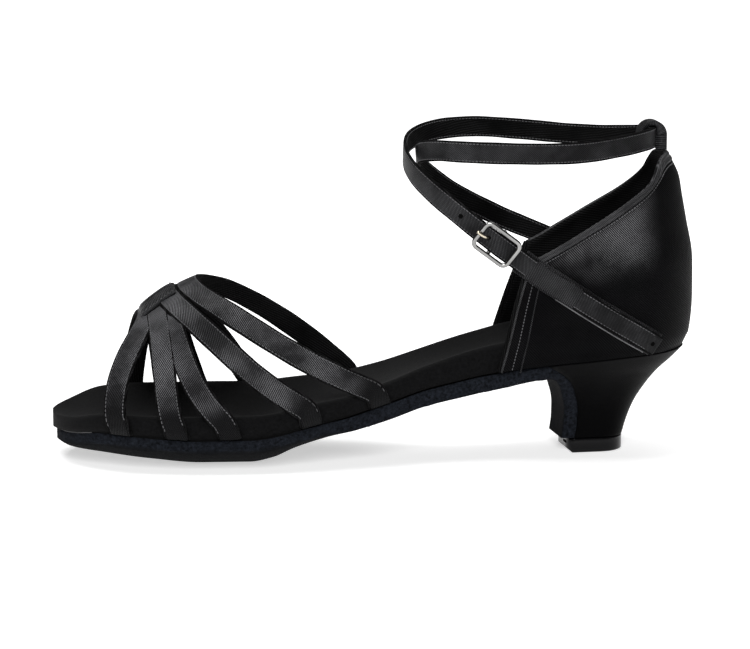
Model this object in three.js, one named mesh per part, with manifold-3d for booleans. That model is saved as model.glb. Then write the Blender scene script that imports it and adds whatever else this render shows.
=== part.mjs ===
// Left satin sandal for ballroom dancing, in millimetres, +Z up, toe towards -X,
// outer (lateral) side towards -Y. It stands on its heel tip and the ball of its sole at Z = 0.

import * as THREE from 'three';
import { mergeVertices } from 'three/addons/utils/BufferGeometryUtils.js';
import Module from 'manifold-3d';

const wasm = await Module();
wasm.setup();

// Driving dimensions of the last
const lastLength = 237;
const ballWidth = 76;
const seatHeight = 40;
const knotHeight = 56;
const collarRise = 73;

// Leather, padding and satin
const outsoleThickness = 4;
const insoleThickness = 8.4;
const soleMargin = 0.6;
const bedGap = 0.45;
const toeSetback = 1.6;
const counterWall = 2.2;
const bindingWidth = 3.2;
const bindingStep = 0.45;
const strapWidth = 8.6;
const strapThickness = 1.5;
const ankleStrapWidth = 7.8;
const ankleStrapThickness = 1.3;
const carrierWidth = 9.4;
const carrierThickness = 1.1;
const bandGap = 0.45;

// Heel block and its tip
const tipHeight = 5.5;
const tipLength = 20.5;
const tipWidth = 20.4;
const flapThickness = 4.6;
const flapGap = 0.45;
const breastShare = 0.768;
const heelSwing = THREE.MathUtils.degToRad(5);

// Buckle
const buckleLength = 16.6;
const buckleWidth = 12;
const buckleBar = 1.6;
const prongThickness = 1.2;
const prongHole = -3.7;
const holeRadius = 1;
const holeStretch = 1.75;

// Loop behind the heel
const loopWidth = 8;
const loopThickness = 1.4;
const loopBack = 2.6;
const loopDepth = 10.6;
const loopHeight = 10.9;

const fitGap = 0.3;
const halfBall = ballWidth / 2;

// Sole sections, heel end last. at: share of the last's length. half, centre, curl: shares of
// half the ball width, curl being how far the edges turn up. spring: share of the seat height.
// thick: share of the outsole's thickness. pad, bed: shares of the insole's, at edge and middle.
const soleTable = [
  { at: 0.000, half: 0.80, centre: 0.10, spring: 0.205, curl: 0.00, thick: 0.95, pad: 0.62, bed: 0.62 },
  { at: 0.030, half: 0.83, centre: 0.10, spring: 0.130, curl: 0.09, thick: 1.00, pad: 0.68, bed: 0.70 },
  { at: 0.080, half: 0.88, centre: 0.09, spring: 0.090, curl: 0.18, thick: 1.00, pad: 0.78, bed: 0.86 },
  { at: 0.150, half: 0.95, centre: 0.06, spring: 0.040, curl: 0.21, thick: 1.00, pad: 0.90, bed: 0.98 },
  { at: 0.230, half: 1.00, centre: 0.03, spring: 0.000, curl: 0.23, thick: 1.00, pad: 0.98, bed: 1.00 },
  { at: 0.305, half: 0.98, centre: 0.00, spring: 0.000, curl: 0.235, thick: 1.00, pad: 0.98, bed: 1.00 },
  { at: 0.340, half: 0.94, centre: -0.03, spring: 0.040, curl: 0.22, thick: 1.00, pad: 0.94, bed: 0.98 },
  { at: 0.375, half: 0.87, centre: -0.06, spring: 0.135, curl: 0.16, thick: 1.05, pad: 0.92, bed: 0.95 },
  { at: 0.420, half: 0.78, centre: -0.10, spring: 0.225, curl: 0.12, thick: 1.10, pad: 0.88, bed: 0.92 },
  { at: 0.466, half: 0.69, centre: -0.13, spring: 0.300, curl: 0.07, thick: 1.37, pad: 0.86, bed: 0.88 },
  { at: 0.520, half: 0.59, centre: -0.15, spring: 0.387, curl: 0.06, thick: 1.50, pad: 0.90, bed: 0.86 },
  { at: 0.580, half: 0.51, centre: -0.15, spring: 0.502, curl: 0.05, thick: 1.48, pad: 1.01, bed: 0.86 },
  { at: 0.650, half: 0.50, centre: -0.12, spring: 0.588, curl: 0.05, thick: 1.52, pad: 1.19, bed: 0.88 },
  { at: 0.710, half: 0.56, centre: -0.09, spring: 0.668, curl: 0.045, thick: 1.44, pad: 1.26, bed: 0.90 },
  { at: 0.765, half: 0.64, centre: -0.05, spring: 0.773, curl: 0.00, thick: 1.30, pad: 1.22, bed: 0.90 },
  { at: 0.850, half: 0.69, centre: -0.02, spring: 0.818, curl: 0.00, thick: 1.35, pad: 1.15, bed: 0.90 },
  { at: 0.920, half: 0.69, centre: 0.00, spring: 0.869, curl: 0.00, thick: 1.15, pad: 1.05, bed: 0.90 },
  { at: 1.000, half: 0.66, centre: 0.00, spring: 0.900, curl: 0.00, thick: 1.00, pad: 1.00, bed: 0.90 },
];

// Rounding of the plan at toe and heel: length as a share of the last, and its power
const toeRound = { length: 0.15, power: 2.2 };
const heelRound = { length: 0.135, power: 2.1 };

// Height of the straps' inner face over the middle of the foot, as a share of the knot height
const ridgeTable = [
  { at: 0.090, ridge: 0.90 },
  { at: 0.150, ridge: 0.965 },
  { at: 0.171, ridge: 1.020 },
  { at: 0.190, ridge: 1.070 },
  { at: 0.220, ridge: 1.135 },
  { at: 0.300, ridge: 1.27 },
  { at: 0.400, ridge: 1.40 },
  { at: 0.500, ridge: 1.52 },
];
const footRound = { across: 0.80, up: 0.90 };

// Five straps from sole edge to sole edge. lateral, medial: place at the footbed's edge;
// lateralFoot, medialFoot: how much further back the sewn end lies; apex: place at the knot; all
// as shares of the last's length. lateralBow, medialBow: bend of the run between edge and knot.
// layer: how many strap thicknesses it lies higher at the knot.
const strapTable = [
  { lateral: 0.097, lateralFoot: 0.011, lateralBow: 2.60, medial: 0.131, medialFoot: 0.006, medialBow: 1.3,
    apex: 0.155, layer: 0.0 },
  { lateral: 0.180, lateralFoot: 0.013, lateralBow: 0.60, medial: 0.184, medialFoot: 0.010, medialBow: 0.8,
    apex: 0.168, layer: 0.4 },
  { lateral: 0.256, lateralFoot: 0.018, lateralBow: 0.50, medial: 0.232, medialFoot: 0.014, medialBow: 0.9,
    apex: 0.180, layer: 0.2 },
  { lateral: 0.386, lateralFoot: 0.011, lateralBow: 0.76, medial: 0.320, medialFoot: 0.011, medialBow: 1.0,
    apex: 0.186, layer: 0.6 },
  { lateral: 0.491, lateralFoot: 0.014, lateralBow: 0.84, medial: 0.470, medialFoot: 0.010, medialBow: 1.12,
    apex: 0.216, layer: 1.3 },
];
const strapSteps = 22;
const strapGap = 0.55;

// Wrap that gathers the front straps: middle, length and slope along the foot
const wrap = { at: 0.172, up: 1.02, length: 14, height: 5, width: 12.5, slope: THREE.MathUtils.degToRad(36) };

// Counter at heights above the seat, as shares of collarRise. back: how far its back stands
// behind the last; frontLateral, frontMedial: its front edges; all as shares of the last's
// length. side: width there as a share of the width at the seat.
const counterTable = [
  { up: -0.08, back: -0.004, frontLateral: 0.694, frontMedial: 0.700, side: 1.00 },
  { up: 0.00, back: -0.001, frontLateral: 0.701, frontMedial: 0.708, side: 1.00 },
  { up: 0.08, back: 0.010, frontLateral: 0.707, frontMedial: 0.716, side: 1.02 },
  { up: 0.25, back: 0.014, frontLateral: 0.719, frontMedial: 0.734, side: 1.04 },
  { up: 0.45, back: 0.013, frontLateral: 0.736, frontMedial: 0.758, side: 1.06 },
  { up: 0.66, back: 0.002, frontLateral: 0.758, frontMedial: 0.784, side: 0.98 },
  { up: 0.79, back: -0.005, frontLateral: 0.772, frontMedial: 0.804, side: 0.87 },
  { up: 0.87, back: -0.009, frontLateral: 0.782, frontMedial: 0.812, side: 0.79 },
  { up: 0.95, back: -0.020, frontLateral: 0.792, frontMedial: 0.820, side: 0.70 },
  { up: 1.00, back: -0.030, frontLateral: 0.800, frontMedial: 0.826, side: 0.64 },
];

// Top line of the counter. from: 0 at the front edge, 1 at the back; lateral, medial: shares of
// collarRise
const toplineTable = [
  { from: 0.00, lateral: 0.490, medial: 0.500 },
  { from: 0.05, lateral: 0.515, medial: 0.520 },
  { from: 0.17, lateral: 0.584, medial: 0.578 },
  { from: 0.32, lateral: 0.668, medial: 0.650 },
  { from: 0.46, lateral: 0.740, medial: 0.714 },
  { from: 0.58, lateral: 0.800, medial: 0.768 },
  { from: 0.70, lateral: 0.862, medial: 0.832 },
  { from: 0.78, lateral: 0.920, medial: 0.888 },
  { from: 0.85, lateral: 0.966, medial: 0.945 },
  { from: 0.92, lateral: 0.990, medial: 0.985 },
  { from: 1.00, lateral: 1.000, medial: 1.000 },
];
const counterColumns = 13;
const counterRows = [0, 0.12, 0.3, 0.55, 0.8, 0.99];

// Heel block between tip and seat. up: share of its height. back, side: how far its outline has
// grown from the tip's to the seat's. breast: the same for its front.
const heelTable = [
  { up: 0.00, back: 0.00, side: 0.00, breast: 0.00 },
  { up: 0.16, back: 0.07, side: 0.05, breast: -0.06 },
  { up: 0.36, back: 0.19, side: 0.14, breast: -0.08 },
  { up: 0.58, back: 0.40, side: 0.33, breast: 0.03 },
  { up: 0.74, back: 0.60, side: 0.53, breast: 0.20 },
  { up: 0.87, back: 0.81, side: 0.76, breast: 0.50 },
  { up: 1.00, back: 1.00, side: 1.00, breast: 1.00 },
];
const bindingShare = 0.14;
const tipFrontShare = 0.8186;
const tipLead = 1.1;
const heelColumns = 9;

// Route of the ankle strap from the inner quarter round the ankle to the buckle. along: share of
// the last's length; across, share of half the ball width; up, share of seat height and collar
// rise together.
const ankleRoute = [
  { along: 0.732, across: 0.81, up: 0.742 },
  { along: 0.680, across: 0.73, up: 0.798 },
  { along: 0.640, across: 0.58, up: 0.848 },
  { along: 0.604, across: 0.36, up: 0.909 },
  { along: 0.580, across: 0.08, up: 0.968 },
  { along: 0.575, across: -0.24, up: 1.008 },
  { along: 0.594, across: -0.54, up: 1.025 },
  { along: 0.630, across: -0.74, up: 1.027 },
  { along: 0.690, across: -0.83, up: 1.024 },
  { along: 0.760, across: -0.82, up: 1.020 },
  { along: 0.822, across: -0.71, up: 1.020 },
  { along: 0.884, across: -0.48, up: 1.028 },
  { along: 0.935, across: -0.23, up: 1.040 },
  { along: 0.953, across: 0.00, up: 1.044 },
  { along: 0.939, across: 0.23, up: 1.040 },
  { along: 0.892, across: 0.46, up: 1.032 },
  { along: 0.826, across: 0.70, up: 1.033 },
  { along: 0.755, across: 0.80, up: 1.045 },
  { along: 0.680, across: 0.78, up: 1.056 },
  { along: 0.612, across: 0.60, up: 1.050 },
  { along: 0.569, across: 0.28, up: 1.028 },
  { along: 0.555, across: -0.08, up: 0.994 },
  { along: 0.562, across: -0.42, up: 0.950 },
  { along: 0.587, across: -0.68, up: 0.896 },
  { along: 0.622, across: -0.85, up: 0.835 },
  { along: 0.662, across: -0.93, up: 0.768 },
  { along: 0.700, across: -0.93, up: 0.708 },
];
const ankleAxis = 0.75;
const ankleOval = 0.62;
const ankleSteps = 110;
const buckleAlong = 0.680;

// Its other end, sewn on the inner quarter
const medialRoute = [
  { from: 0.22, up: 0.480 },
  { from: 0.11, up: 0.520 },
];

// Band on the outer quarter from the buckle to the seat: from as in the top line, up as in the
// counter
const carrierRoute = [
  { from: -0.06, up: 0.490 },
  { from: 0.08, up: 0.417 },
  { from: 0.24, up: 0.336 },
  { from: 0.42, up: 0.237 },
  { from: 0.60, up: 0.137 },
  { from: 0.76, up: 0.052 },
];

// Smooth value of one column of a table at a place in its first column
function look(table, key, place) {
  const by = Object.keys(table[0])[0];
  const last = table.length - 1;
  if (place <= table[0][by]) return table[0][key];
  if (place >= table[last][by]) return table[last][key];
  const i = table.findIndex((row) => row[by] > place) - 1;
  const slope = (a, b) => (table[b][key] - table[a][key]) / (table[b][by] - table[a][by]);
  const here = slope(i, i + 1);
  const tangent = (a, b, c) => {
    if (a < 0 || c > last) return here;
    const [before, after] = [slope(a, b), slope(b, c)];
    return before * after <= 0 ? 0 : 2 * before * after / (before + after);
  };
  const span = table[i + 1][by] - table[i][by];
  const t = (place - table[i][by]) / span;
  const [m0, m1] = [tangent(i - 1, i, i + 1) * span, tangent(i, i + 1, i + 2) * span];
  const [t2, t3] = [t * t, t * t * t];
  return (2 * t3 - 3 * t2 + 1) * table[i][key] + (t3 - 2 * t2 + t) * m0
    + (3 * t2 - 2 * t3) * table[i + 1][key] + (t3 - t2) * m1;
}

const mix = (a, b, t) => a + (b - a) * t;
const vec = (x, y, z) => new THREE.Vector3(x, y, z);

// The last's plan and side view at a share of its length
function roundEnd(distance, round) {
  const t = 1 - distance / round.length;
  return t <= 0 ? 1 : (1 - Math.min(t, 1) ** round.power) ** (1 / round.power);
}

function planHalf(at) {
  const full = look(soleTable, 'half', at) * halfBall;
  return full * roundEnd(at, toeRound) * roundEnd(1 - at, heelRound);
}

const planCentre = (at) => look(soleTable, 'centre', at) * halfBall;
const soleBottom = (at) => look(soleTable, 'spring', at) * seatHeight;
const soleCurl = (at) => look(soleTable, 'curl', at) * halfBall;
const soleThick = (at) => look(soleTable, 'thick', at) * outsoleThickness;
const padEdge = (at) => look(soleTable, 'pad', at) * insoleThickness;
const padBed = (at) => look(soleTable, 'bed', at) * insoleThickness;
const soleLine = (at) => soleBottom(at) + soleCurl(at) + soleThick(at);
const bedEdge = (at) => soleLine(at) + fitGap + padEdge(at);

// Turn-up of the sole across its width: flat in the middle, q is 0 there and 1 at the edge
const flatShare = 0.3;
function curlShape(q) {
  const t = Math.max(0, (Math.abs(q) - flatShare) / (1 - flatShare));
  return t ** 1.7;
}

// Closed solid from rings of points of equal count, ends closed across from point to point
function loft(rings) {
  const count = rings[0].length;
  const positions = rings.flat().flatMap((p) => [p.x, p.y, p.z]);
  const index = [];
  for (let r = 0; r + 1 < rings.length; r++) {
    for (let k = 0; k < count; k++) {
      const [a, b] = [r * count + k, r * count + (k + 1) % count];
      index.push(a, b, b + count, a, b + count, a + count);
    }
  }
  const cap = (start, flip) => {
    for (let lo = 0, hi = count - 1; hi - lo > 1;) {
      const next = lo + 1;
      const tri = [start + hi, start + lo, start + next];
      index.push(...(flip ? tri.reverse() : tri));
      lo = next;
      if (hi - lo > 1) {
        const quad = [start + hi, start + lo, start + hi - 1];
        index.push(...(flip ? quad.reverse() : quad));
        hi -= 1;
      }
    }
  };
  cap(0, true);
  cap((rings.length - 1) * count, false);
  return outward(positions, index);
}

// Geometry with merged points whose faces look outward, whatever way the rings ran
function outward(positions, index) {
  let volume = 0;
  const point = (i) => vec(positions[3 * i], positions[3 * i + 1], positions[3 * i + 2]);
  for (let i = 0; i < index.length; i += 3) {
    volume += point(index[i]).dot(point(index[i + 1]).cross(point(index[i + 2])));
  }
  const faces = volume < 0 ? index.slice().reverse() : index;
  const geometry = new THREE.BufferGeometry();
  geometry.setAttribute('position', new THREE.Float32BufferAttribute(positions, 3));
  geometry.setIndex(faces);
  return geometry;
}

// Solids for joining and cutting
function solid(geometry) {
  const clean = geometry.clone();
  clean.deleteAttribute('normal');
  clean.deleteAttribute('uv');
  const merged = mergeVertices(clean, 1e-4);
  return new wasm.Manifold(new wasm.Mesh({
    numProp: 3,
    vertProperties: new Float32Array(merged.attributes.position.array),
    triVerts: new Uint32Array(merged.index.array),
  }));
}

function geometryOf(manifold) {
  const mesh = manifold.getMesh();
  const geometry = new THREE.BufferGeometry();
  geometry.setAttribute('position', new THREE.Float32BufferAttribute(mesh.vertProperties, 3));
  geometry.setIndex(new THREE.Uint32BufferAttribute(mesh.triVerts, 1));
  return geometry;
}

// Suede outsole: toe to breast, with a flap that runs down the front of the heel
const acrossSteps = [-1, -0.86, -0.68, -0.5, -0.3, 0, 0.3, 0.5, 0.68, 0.86, 1];
const outsoleTuck = 2.2;

function outsoleHalf(at) {
  const planAt = Math.max(at - toeSetback / lastLength * (1 - at), 0.0015);
  return planHalf(planAt) + soleMargin * THREE.MathUtils.smoothstep(at, 0, 0.06);
}

// Height of the outsole's upper face at a distance from its middle
function soleTop(at, across) {
  const q = Math.min(1, Math.abs(across) / outsoleHalf(at));
  return soleBottom(at) + soleCurl(at) * curlShape(q) + soleThick(at);
}

function outsoleRing(at) {
  const half = outsoleHalf(at);
  const [centre, bottom, curl, thick] = [planCentre(at), soleBottom(at), soleCurl(at), soleThick(at)];
  const x = at * lastLength;
  const under = acrossSteps.map((q) => {
    const edge = Math.abs(q) === 1;
    const reach = half - (edge ? Math.min(outsoleTuck, half * 0.3) * 0.35 : 0);
    return vec(x, centre + q * reach, bottom + curl * curlShape(q));
  });
  const over = acrossSteps.map((q) => vec(x, centre + q * half, bottom + curl * curlShape(q) + thick));
  const band = (q) => vec(x, centre + q * half, bottom + curl + thick * 0.35);
  return [...under, band(1), ...over.reverse(), band(-1)];
}

const soleShares = [0.0075, 0.012, 0.02, 0.033, 0.052, 0.08, 0.115, 0.15, 0.19, 0.23, 0.265, 0.3, 0.33, 0.36,
  0.395, 0.43, 0.465, 0.5, 0.57, 0.64, 0.7, breastShare - 0.005];

// Front face of the heel block: x at a height, shared by block, flap and tip
const tipFront = tipFrontShare * lastLength;
const blockBottom = tipHeight + fitGap;
const breastFront = breastShare * lastLength;

function heelLevel(up) {
  return {
    front: mix(tipFront, breastFront, look(heelTable, 'breast', up)),
    side: look(heelTable, 'side', up),
    back: look(heelTable, 'back', up),
  };
}

function flapGeometry() {
  const top = soleBottom(breastShare);
  const rings = [0, 0.16, 0.36, 0.58, 0.74, 0.87, 1].map((up) => {
    const z = mix(blockBottom, soleLine(breastShare), up);
    const x = heelLevel(up).front - flapGap;
    const half = mix(tipWidth / 2, planHalf(breastShare) + soleMargin, look(heelTable, 'side', up));
    const centre = planCentre(breastShare) * look(heelTable, 'side', up);
    const lead = flapThickness * (up > 0.8 ? 1.6 : 1);
    const low = Math.min(z, mix(z, top, up > 0.8 ? (up - 0.8) * 2 : 0));
    return [vec(x, centre - half, z), vec(x, centre + half, z),
      vec(x - lead, centre + half, low), vec(x - lead, centre - half, low)].map((p) => swing(p, 1 - up));
  });
  return loft(rings);
}

function outsoleGeometry() {
  const body = solid(loft(soleShares.map(outsoleRing)));
  return geometryOf(body.add(solid(flapGeometry())));
}

// The heel points a few degrees outwards: turned about its tip, and less towards the seat
function swing(p, amount) {
  const middle = tipFront + tipLength / 2;
  const [c, s] = [Math.cos(heelSwing * amount), Math.sin(heelSwing * amount)];
  return vec(middle + (p.x - middle) * c - p.y * s, (p.x - middle) * s + p.y * c, p.z);
}

// Padded insole
const bedSteps = [-1, -0.8, -0.5, 0, 0.5, 0.8, 1];
const wallTuck = 1.3;
const wallRound = 1.4;
const seatRelief = 0.4;

function insoleRing(at) {
  const inCounter = THREE.MathUtils.smoothstep(at, 0.65, 0.70);
  const half = planHalf(at) - seatRelief * inCounter;
  const centre = planCentre(at);
  const inset = (counterWall + 2 * fitGap) * Math.max(0, (at - breastShare) / (1 - breastShare)) ** 2;
  const x = at * lastLength - inset;
  const tuck = Math.min(wallTuck, half * 0.3);
  const round = Math.min(wallRound, half * 0.3);
  const [low, high] = [soleLine(at) + fitGap, bedEdge(at)];
  const middle = soleBottom(at) + soleThick(at) + fitGap + padBed(at);
  const under = acrossSteps.map((q) => vec(x, centre + q * (half - tuck),
    soleTop(at, q * (half - tuck)) + bedGap));
  const over = bedSteps.map((q) => vec(x, centre + q * (half - round),
    mix(middle, high, Math.abs(q) ** 2.2)));
  const wall = [0.35, 0.75].map((t) => [half, mix(low, high, t)]);
  const right = wall.map(([w, z]) => vec(x, centre + w, z));
  const left = wall.map(([w, z]) => vec(x, centre - w, z)).reverse();
  return [...under, ...right, ...over.reverse(), ...left];
}

const insoleShares = [0.0015, 0.004, ...soleShares, 0.80, 0.85, 0.89, 0.925, 0.955, 0.978, 0.992, 0.9985];

// Heel block and tip: D-shaped levels
function tipHalf(share) {
  return tipWidth / 2 * (share < 0.5 ? 1 : Math.sqrt(Math.max(0, 1 - ((share - 0.5) / 0.5) ** 2.4)));
}

const columnShare = (k) => Math.sin(Math.PI / 2 * k / heelColumns) * 0.999;

function heelRing(up) {
  const level = heelLevel(up);
  const seatBack = lastLength;
  const back = mix(tipFront + tipLength, seatBack, level.back);
  const sides = [-1, 1].map((side) => {
    const points = [];
    for (let k = 0; k <= heelColumns; k++) {
      const share = columnShare(k);
      const seatX = mix(breastFront, seatBack, share);
      const at = Math.min(seatX / seatBack, 0.9995);
      const seat = (planHalf(at) + counterWall * 0.8) * side + planCentre(at);
      const x = mix(level.front, back, share);
      const y = mix(tipHalf(share) * side, seat, level.side);
      const z = mix(blockBottom, soleLine(at), up);
      points.push(swing(vec(x, y, z), 1 - up));
    }
    return points;
  });
  return [...sides[0], ...sides[1].reverse()];
}

function heelGeometry() {
  return loft(heelTable.map((row) => heelRing(row.up)));
}

function tipGeometry() {
  const ring = (z, inset) => {
    const sides = [-1, 1].map((side) => {
      const points = [];
      for (let k = 0; k <= heelColumns; k++) {
        const share = columnShare(k);
        const x = mix(tipFront - tipLead + inset, tipFront + tipLength - inset, share);
        points.push(swing(vec(x, (tipHalf(share) - inset) * side, z), 1));
      }
      return points;
    });
    return [...sides[0], ...sides[1].reverse()];
  };
  return loft([ring(0, 0.4), ring(0.4, 0), ring(tipHeight, 0)]);
}

// Surface that the straps follow: level -1 is the sole line, 0 the footbed's edge, 1 the ridge
function strapSurface(side, at, level) {
  const [half, centre] = [planHalf(at), planCentre(at)];
  const x = at * lastLength;
  if (level < 0) {
    const t = 1 + level;
    const tuck = wallTuck * Math.max(0, 1 - t / 0.35);
    return vec(x, centre + side * (half - tuck), mix(soleLine(at) + fitGap, bedEdge(at), t));
  }
  const angle = level * Math.PI / 2;
  const ridge = look(ridgeTable, 'ridge', at) * knotHeight;
  return vec(x, centre + side * half * Math.cos(angle) ** footRound.across,
    mix(bedEdge(at), ridge, Math.sin(angle) ** footRound.up));
}

function strapShare(strap, side, level) {
  const edge = side < 0 ? strap.lateral : strap.medial;
  const foot = side < 0 ? strap.lateralFoot : strap.medialFoot;
  const bow = side < 0 ? strap.lateralBow : strap.medialBow;
  if (level < 0) return edge - level * foot;
  const rise = Math.sin(level * Math.PI / 2) ** footRound.up;
  return mix(edge, strap.apex, rise ** bow);
}

// Ribbon section round a frame: flat with bevelled edges
function ribbonRing(centre, wide, normal, width, thickness) {
  const bevel = 0.3 * thickness;
  const corner = (w, n) => centre.clone().addScaledVector(wide, w).addScaledVector(normal, n);
  const [w, n] = [width / 2, thickness / 2];
  return [corner(-w, -n), corner(w, -n), corner(w, n - bevel), corner(w - bevel * 2, n),
    corner(-w + bevel * 2, n), corner(-w, n - bevel)];
}

function ribbon(points, normals, width, thickness) {
  const rings = points.map((p, i) => {
    const before = points[Math.max(i - 1, 0)];
    const after = points[Math.min(i + 1, points.length - 1)];
    const along = after.clone().sub(before).normalize();
    const wide = along.clone().cross(normals[i]).normalize();
    const normal = wide.clone().cross(along).normalize();
    return ribbonRing(p, wide, normal, width, thickness);
  });
  return loft(rings);
}

function strapGeometry(strap) {
  const [points, normals] = [[], []];
  const step = 1e-3;
  for (let i = -strapSteps; i <= strapSteps; i++) {
    const side = i < 0 ? -1 : 1;
    // levels run from the lateral sole line over the ridge to the medial sole line
    const run = 2 * Math.abs(i) / strapSteps;
    const level = 1 - run;
    const at = strapShare(strap, side, level);
    const here = strapSurface(side, at, level);
    const up = strapSurface(side, at, Math.min(level + step, 1)).sub(
      strapSurface(side, at, Math.min(level + step, 1) - 2 * step));
    const along = strapSurface(side, at + step, level).sub(strapSurface(side, at - step, level));
    const normal = i === 0 ? vec(-along.z, 0, along.x).normalize()
      : up.cross(along).multiplyScalar(side).normalize();
    const lift = strap.layer * strapThickness * Math.max(0, level) ** 6;
    here.addScaledVector(normal, strapGap + strapThickness / 2 + lift);
    points.push(here);
    normals.push(normal);
  }
  return ribbon(points, normals, strapWidth, strapThickness);
}

function wrapGeometry() {
  const [l, h] = [wrap.length / 2, wrap.height / 2];
  const shape = new THREE.Shape();
  shape.moveTo(-l + h, -h);
  shape.lineTo(l - h, -h);
  shape.absarc(l - h, 0, h, -Math.PI / 2, Math.PI / 2, false);
  shape.lineTo(-l + h, h);
  shape.absarc(-l + h, 0, h, Math.PI / 2, Math.PI * 3 / 2, false);
  const geometry = new THREE.ExtrudeGeometry(shape, {
    depth: wrap.width - 1.2, bevelThickness: 0.6, bevelSize: 0.6, bevelSegments: 1, curveSegments: 5,
  });
  geometry.translate(0, 0, -wrap.width / 2 + 0.6);
  geometry.rotateX(Math.PI / 2);
  geometry.rotateY(-wrap.slope);
  geometry.translate(wrap.at * lastLength, planCentre(wrap.at), wrap.up * knotHeight);
  return geometry;
}

function vampGeometry() {
  const joined = strapTable.map((strap) => solid(strapGeometry(strap)))
    .reduce((all, one) => all.add(one));
  return geometryOf(joined.subtract(solid(belowSole())).add(solid(wrapGeometry())));
}

// Everything up to a clearance above the outsole and the heel block, to trim sewn ends by
function belowSole() {
  return loft([...soleShares, 0.80, 0.85, 0.89, 0.925, 0.955].map((at) => {
    const [half, centre, x] = [outsoleHalf(at), planCentre(at), at * lastLength];
    const top = acrossSteps.map((q) => vec(x, centre + q * half, soleTop(at, q * half) + fitGap));
    const level = soleLine(at) + fitGap;
    return [...top, vec(x, ballWidth, level), vec(x, ballWidth, -insoleThickness),
      vec(x, -ballWidth, -insoleThickness), vec(x, -ballWidth, level)];
  }));
}

// Place on the last's plan where a column of the counter stands
function seatPlace(side, from) {
  const front = look(counterTable, side < 0 ? 'frontLateral' : 'frontMedial', 0);
  return mix(front, 1, Math.min(from, 0.9995));
}

// Outer face of the counter. from: 0 at the front edge, 1 at the back; up: share of collarRise
function counterPoint(side, from, up) {
  const front = look(counterTable, side < 0 ? 'frontLateral' : 'frontMedial', up);
  const back = 1 + look(counterTable, 'back', up);
  const seatAt = seatPlace(side, from);
  const margin = fitGap + counterWall;
  const half = (planHalf(seatAt) + margin * roundEnd(1 - seatAt + 0.004, heelRound))
    * look(counterTable, 'side', up);
  const x = mix(front, back, from) * lastLength;
  return vec(x, planCentre(seatAt) + side * half, seatHeight + up * collarRise);
}

function counterNormal(side, from, up) {
  const step = 2e-3;
  const low = up - step;
  const rise = counterPoint(side, from, low + 2 * step).sub(counterPoint(side, from, low));
  const start = Math.min(from, 1 - 2 * step);
  const run = counterPoint(side, start + step, up).sub(counterPoint(side, start - step, up));
  const normal = run.cross(rise).multiplyScalar(-side).normalize();
  return from >= 1 - step ? vec(1, 0, normal.z).normalize() : normal;
}

function counterGeometry() {
  const columns = [];
  for (let k = -counterColumns; k <= counterColumns; k++) {
    const side = k < 0 ? -1 : 1;
    const from = Math.cos(Math.PI / 2 * Math.abs(k) / counterColumns);
    const top = look(toplineTable, side < 0 ? 'lateral' : 'medial', from);
    const low = (soleLine(seatPlace(side, from)) + fitGap - seatHeight) / collarRise;
    const bind = top - bindingWidth / collarRise;
    const rows = [...counterRows.map((v) => [mix(low, bind, v), 0]), [bind, bindingStep],
      [mix(bind, top, 0.8), bindingStep], [top, 0]];
    const place = ([up, lift]) => [counterPoint(side, from, up), counterNormal(side, from, up), lift];
    const outer = rows.map(place).map(([p, n, lift]) => p.clone().addScaledVector(n, lift));
    const inner = rows.map(place).map(([p, n], i) => p.clone()
      .addScaledVector(n, -counterWall * (i === rows.length - 1 ? 0.75 : 1)));
    columns.push([...outer, ...inner.reverse()]);
  }
  return loft(columns);
}

// Loop that holds the ankle strap at the back
function loopGeometry() {
  const back = counterPoint(1, 1, 1);
  const [outerR, innerR] = [loopDepth / 2, loopDepth / 2 - loopThickness];
  const backInner = outerR - loopBack;
  const rise = loopHeight - outerR;
  const arch = new THREE.Shape();
  arch.moveTo(outerR, 0);
  arch.lineTo(outerR, rise);
  arch.absarc(0, rise, outerR, 0, Math.PI, false);
  arch.lineTo(-outerR, 0);
  arch.lineTo(-innerR, 0);
  arch.lineTo(-innerR, rise);
  arch.absarc(0, rise, innerR, Math.PI, Math.acos(backInner / innerR), true);
  arch.lineTo(backInner, 0);
  const geometry = new THREE.ExtrudeGeometry(arch, { depth: loopWidth, bevelEnabled: false, curveSegments: 8 });
  geometry.translate(0, 0, -loopWidth / 2);
  geometry.rotateX(Math.PI / 2);
  geometry.translate(back.x - outerR, 0, back.z + fitGap);
  return geometry;
}

// Ankle strap: round the ankle, through the buckle and down over the band on the quarter
function carrierRun(layer, steps) {
  const [points, normals] = [[], []];
  const [first, last] = [carrierRoute[0].from, carrierRoute[carrierRoute.length - 1].from];
  for (let i = 0; i <= steps; i++) {
    const from = mix(first, last, i / steps);
    const up = look(carrierRoute, 'up', from);
    const normal = counterNormal(-1, Math.max(from, 0.01), up);
    const overBinding = bindingStep * Math.max(0, 1 - from / bindingShare);
    points.push(counterPoint(-1, from, up).addScaledVector(normal, layer + overBinding));
    normals.push(normal);
  }
  return { points, normals };
}

const carrierLayer = fitGap + carrierThickness / 2;
const tailLayer = fitGap + carrierThickness + bandGap + ankleStrapThickness / 2;
const fullRise = seatHeight + collarRise;

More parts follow.
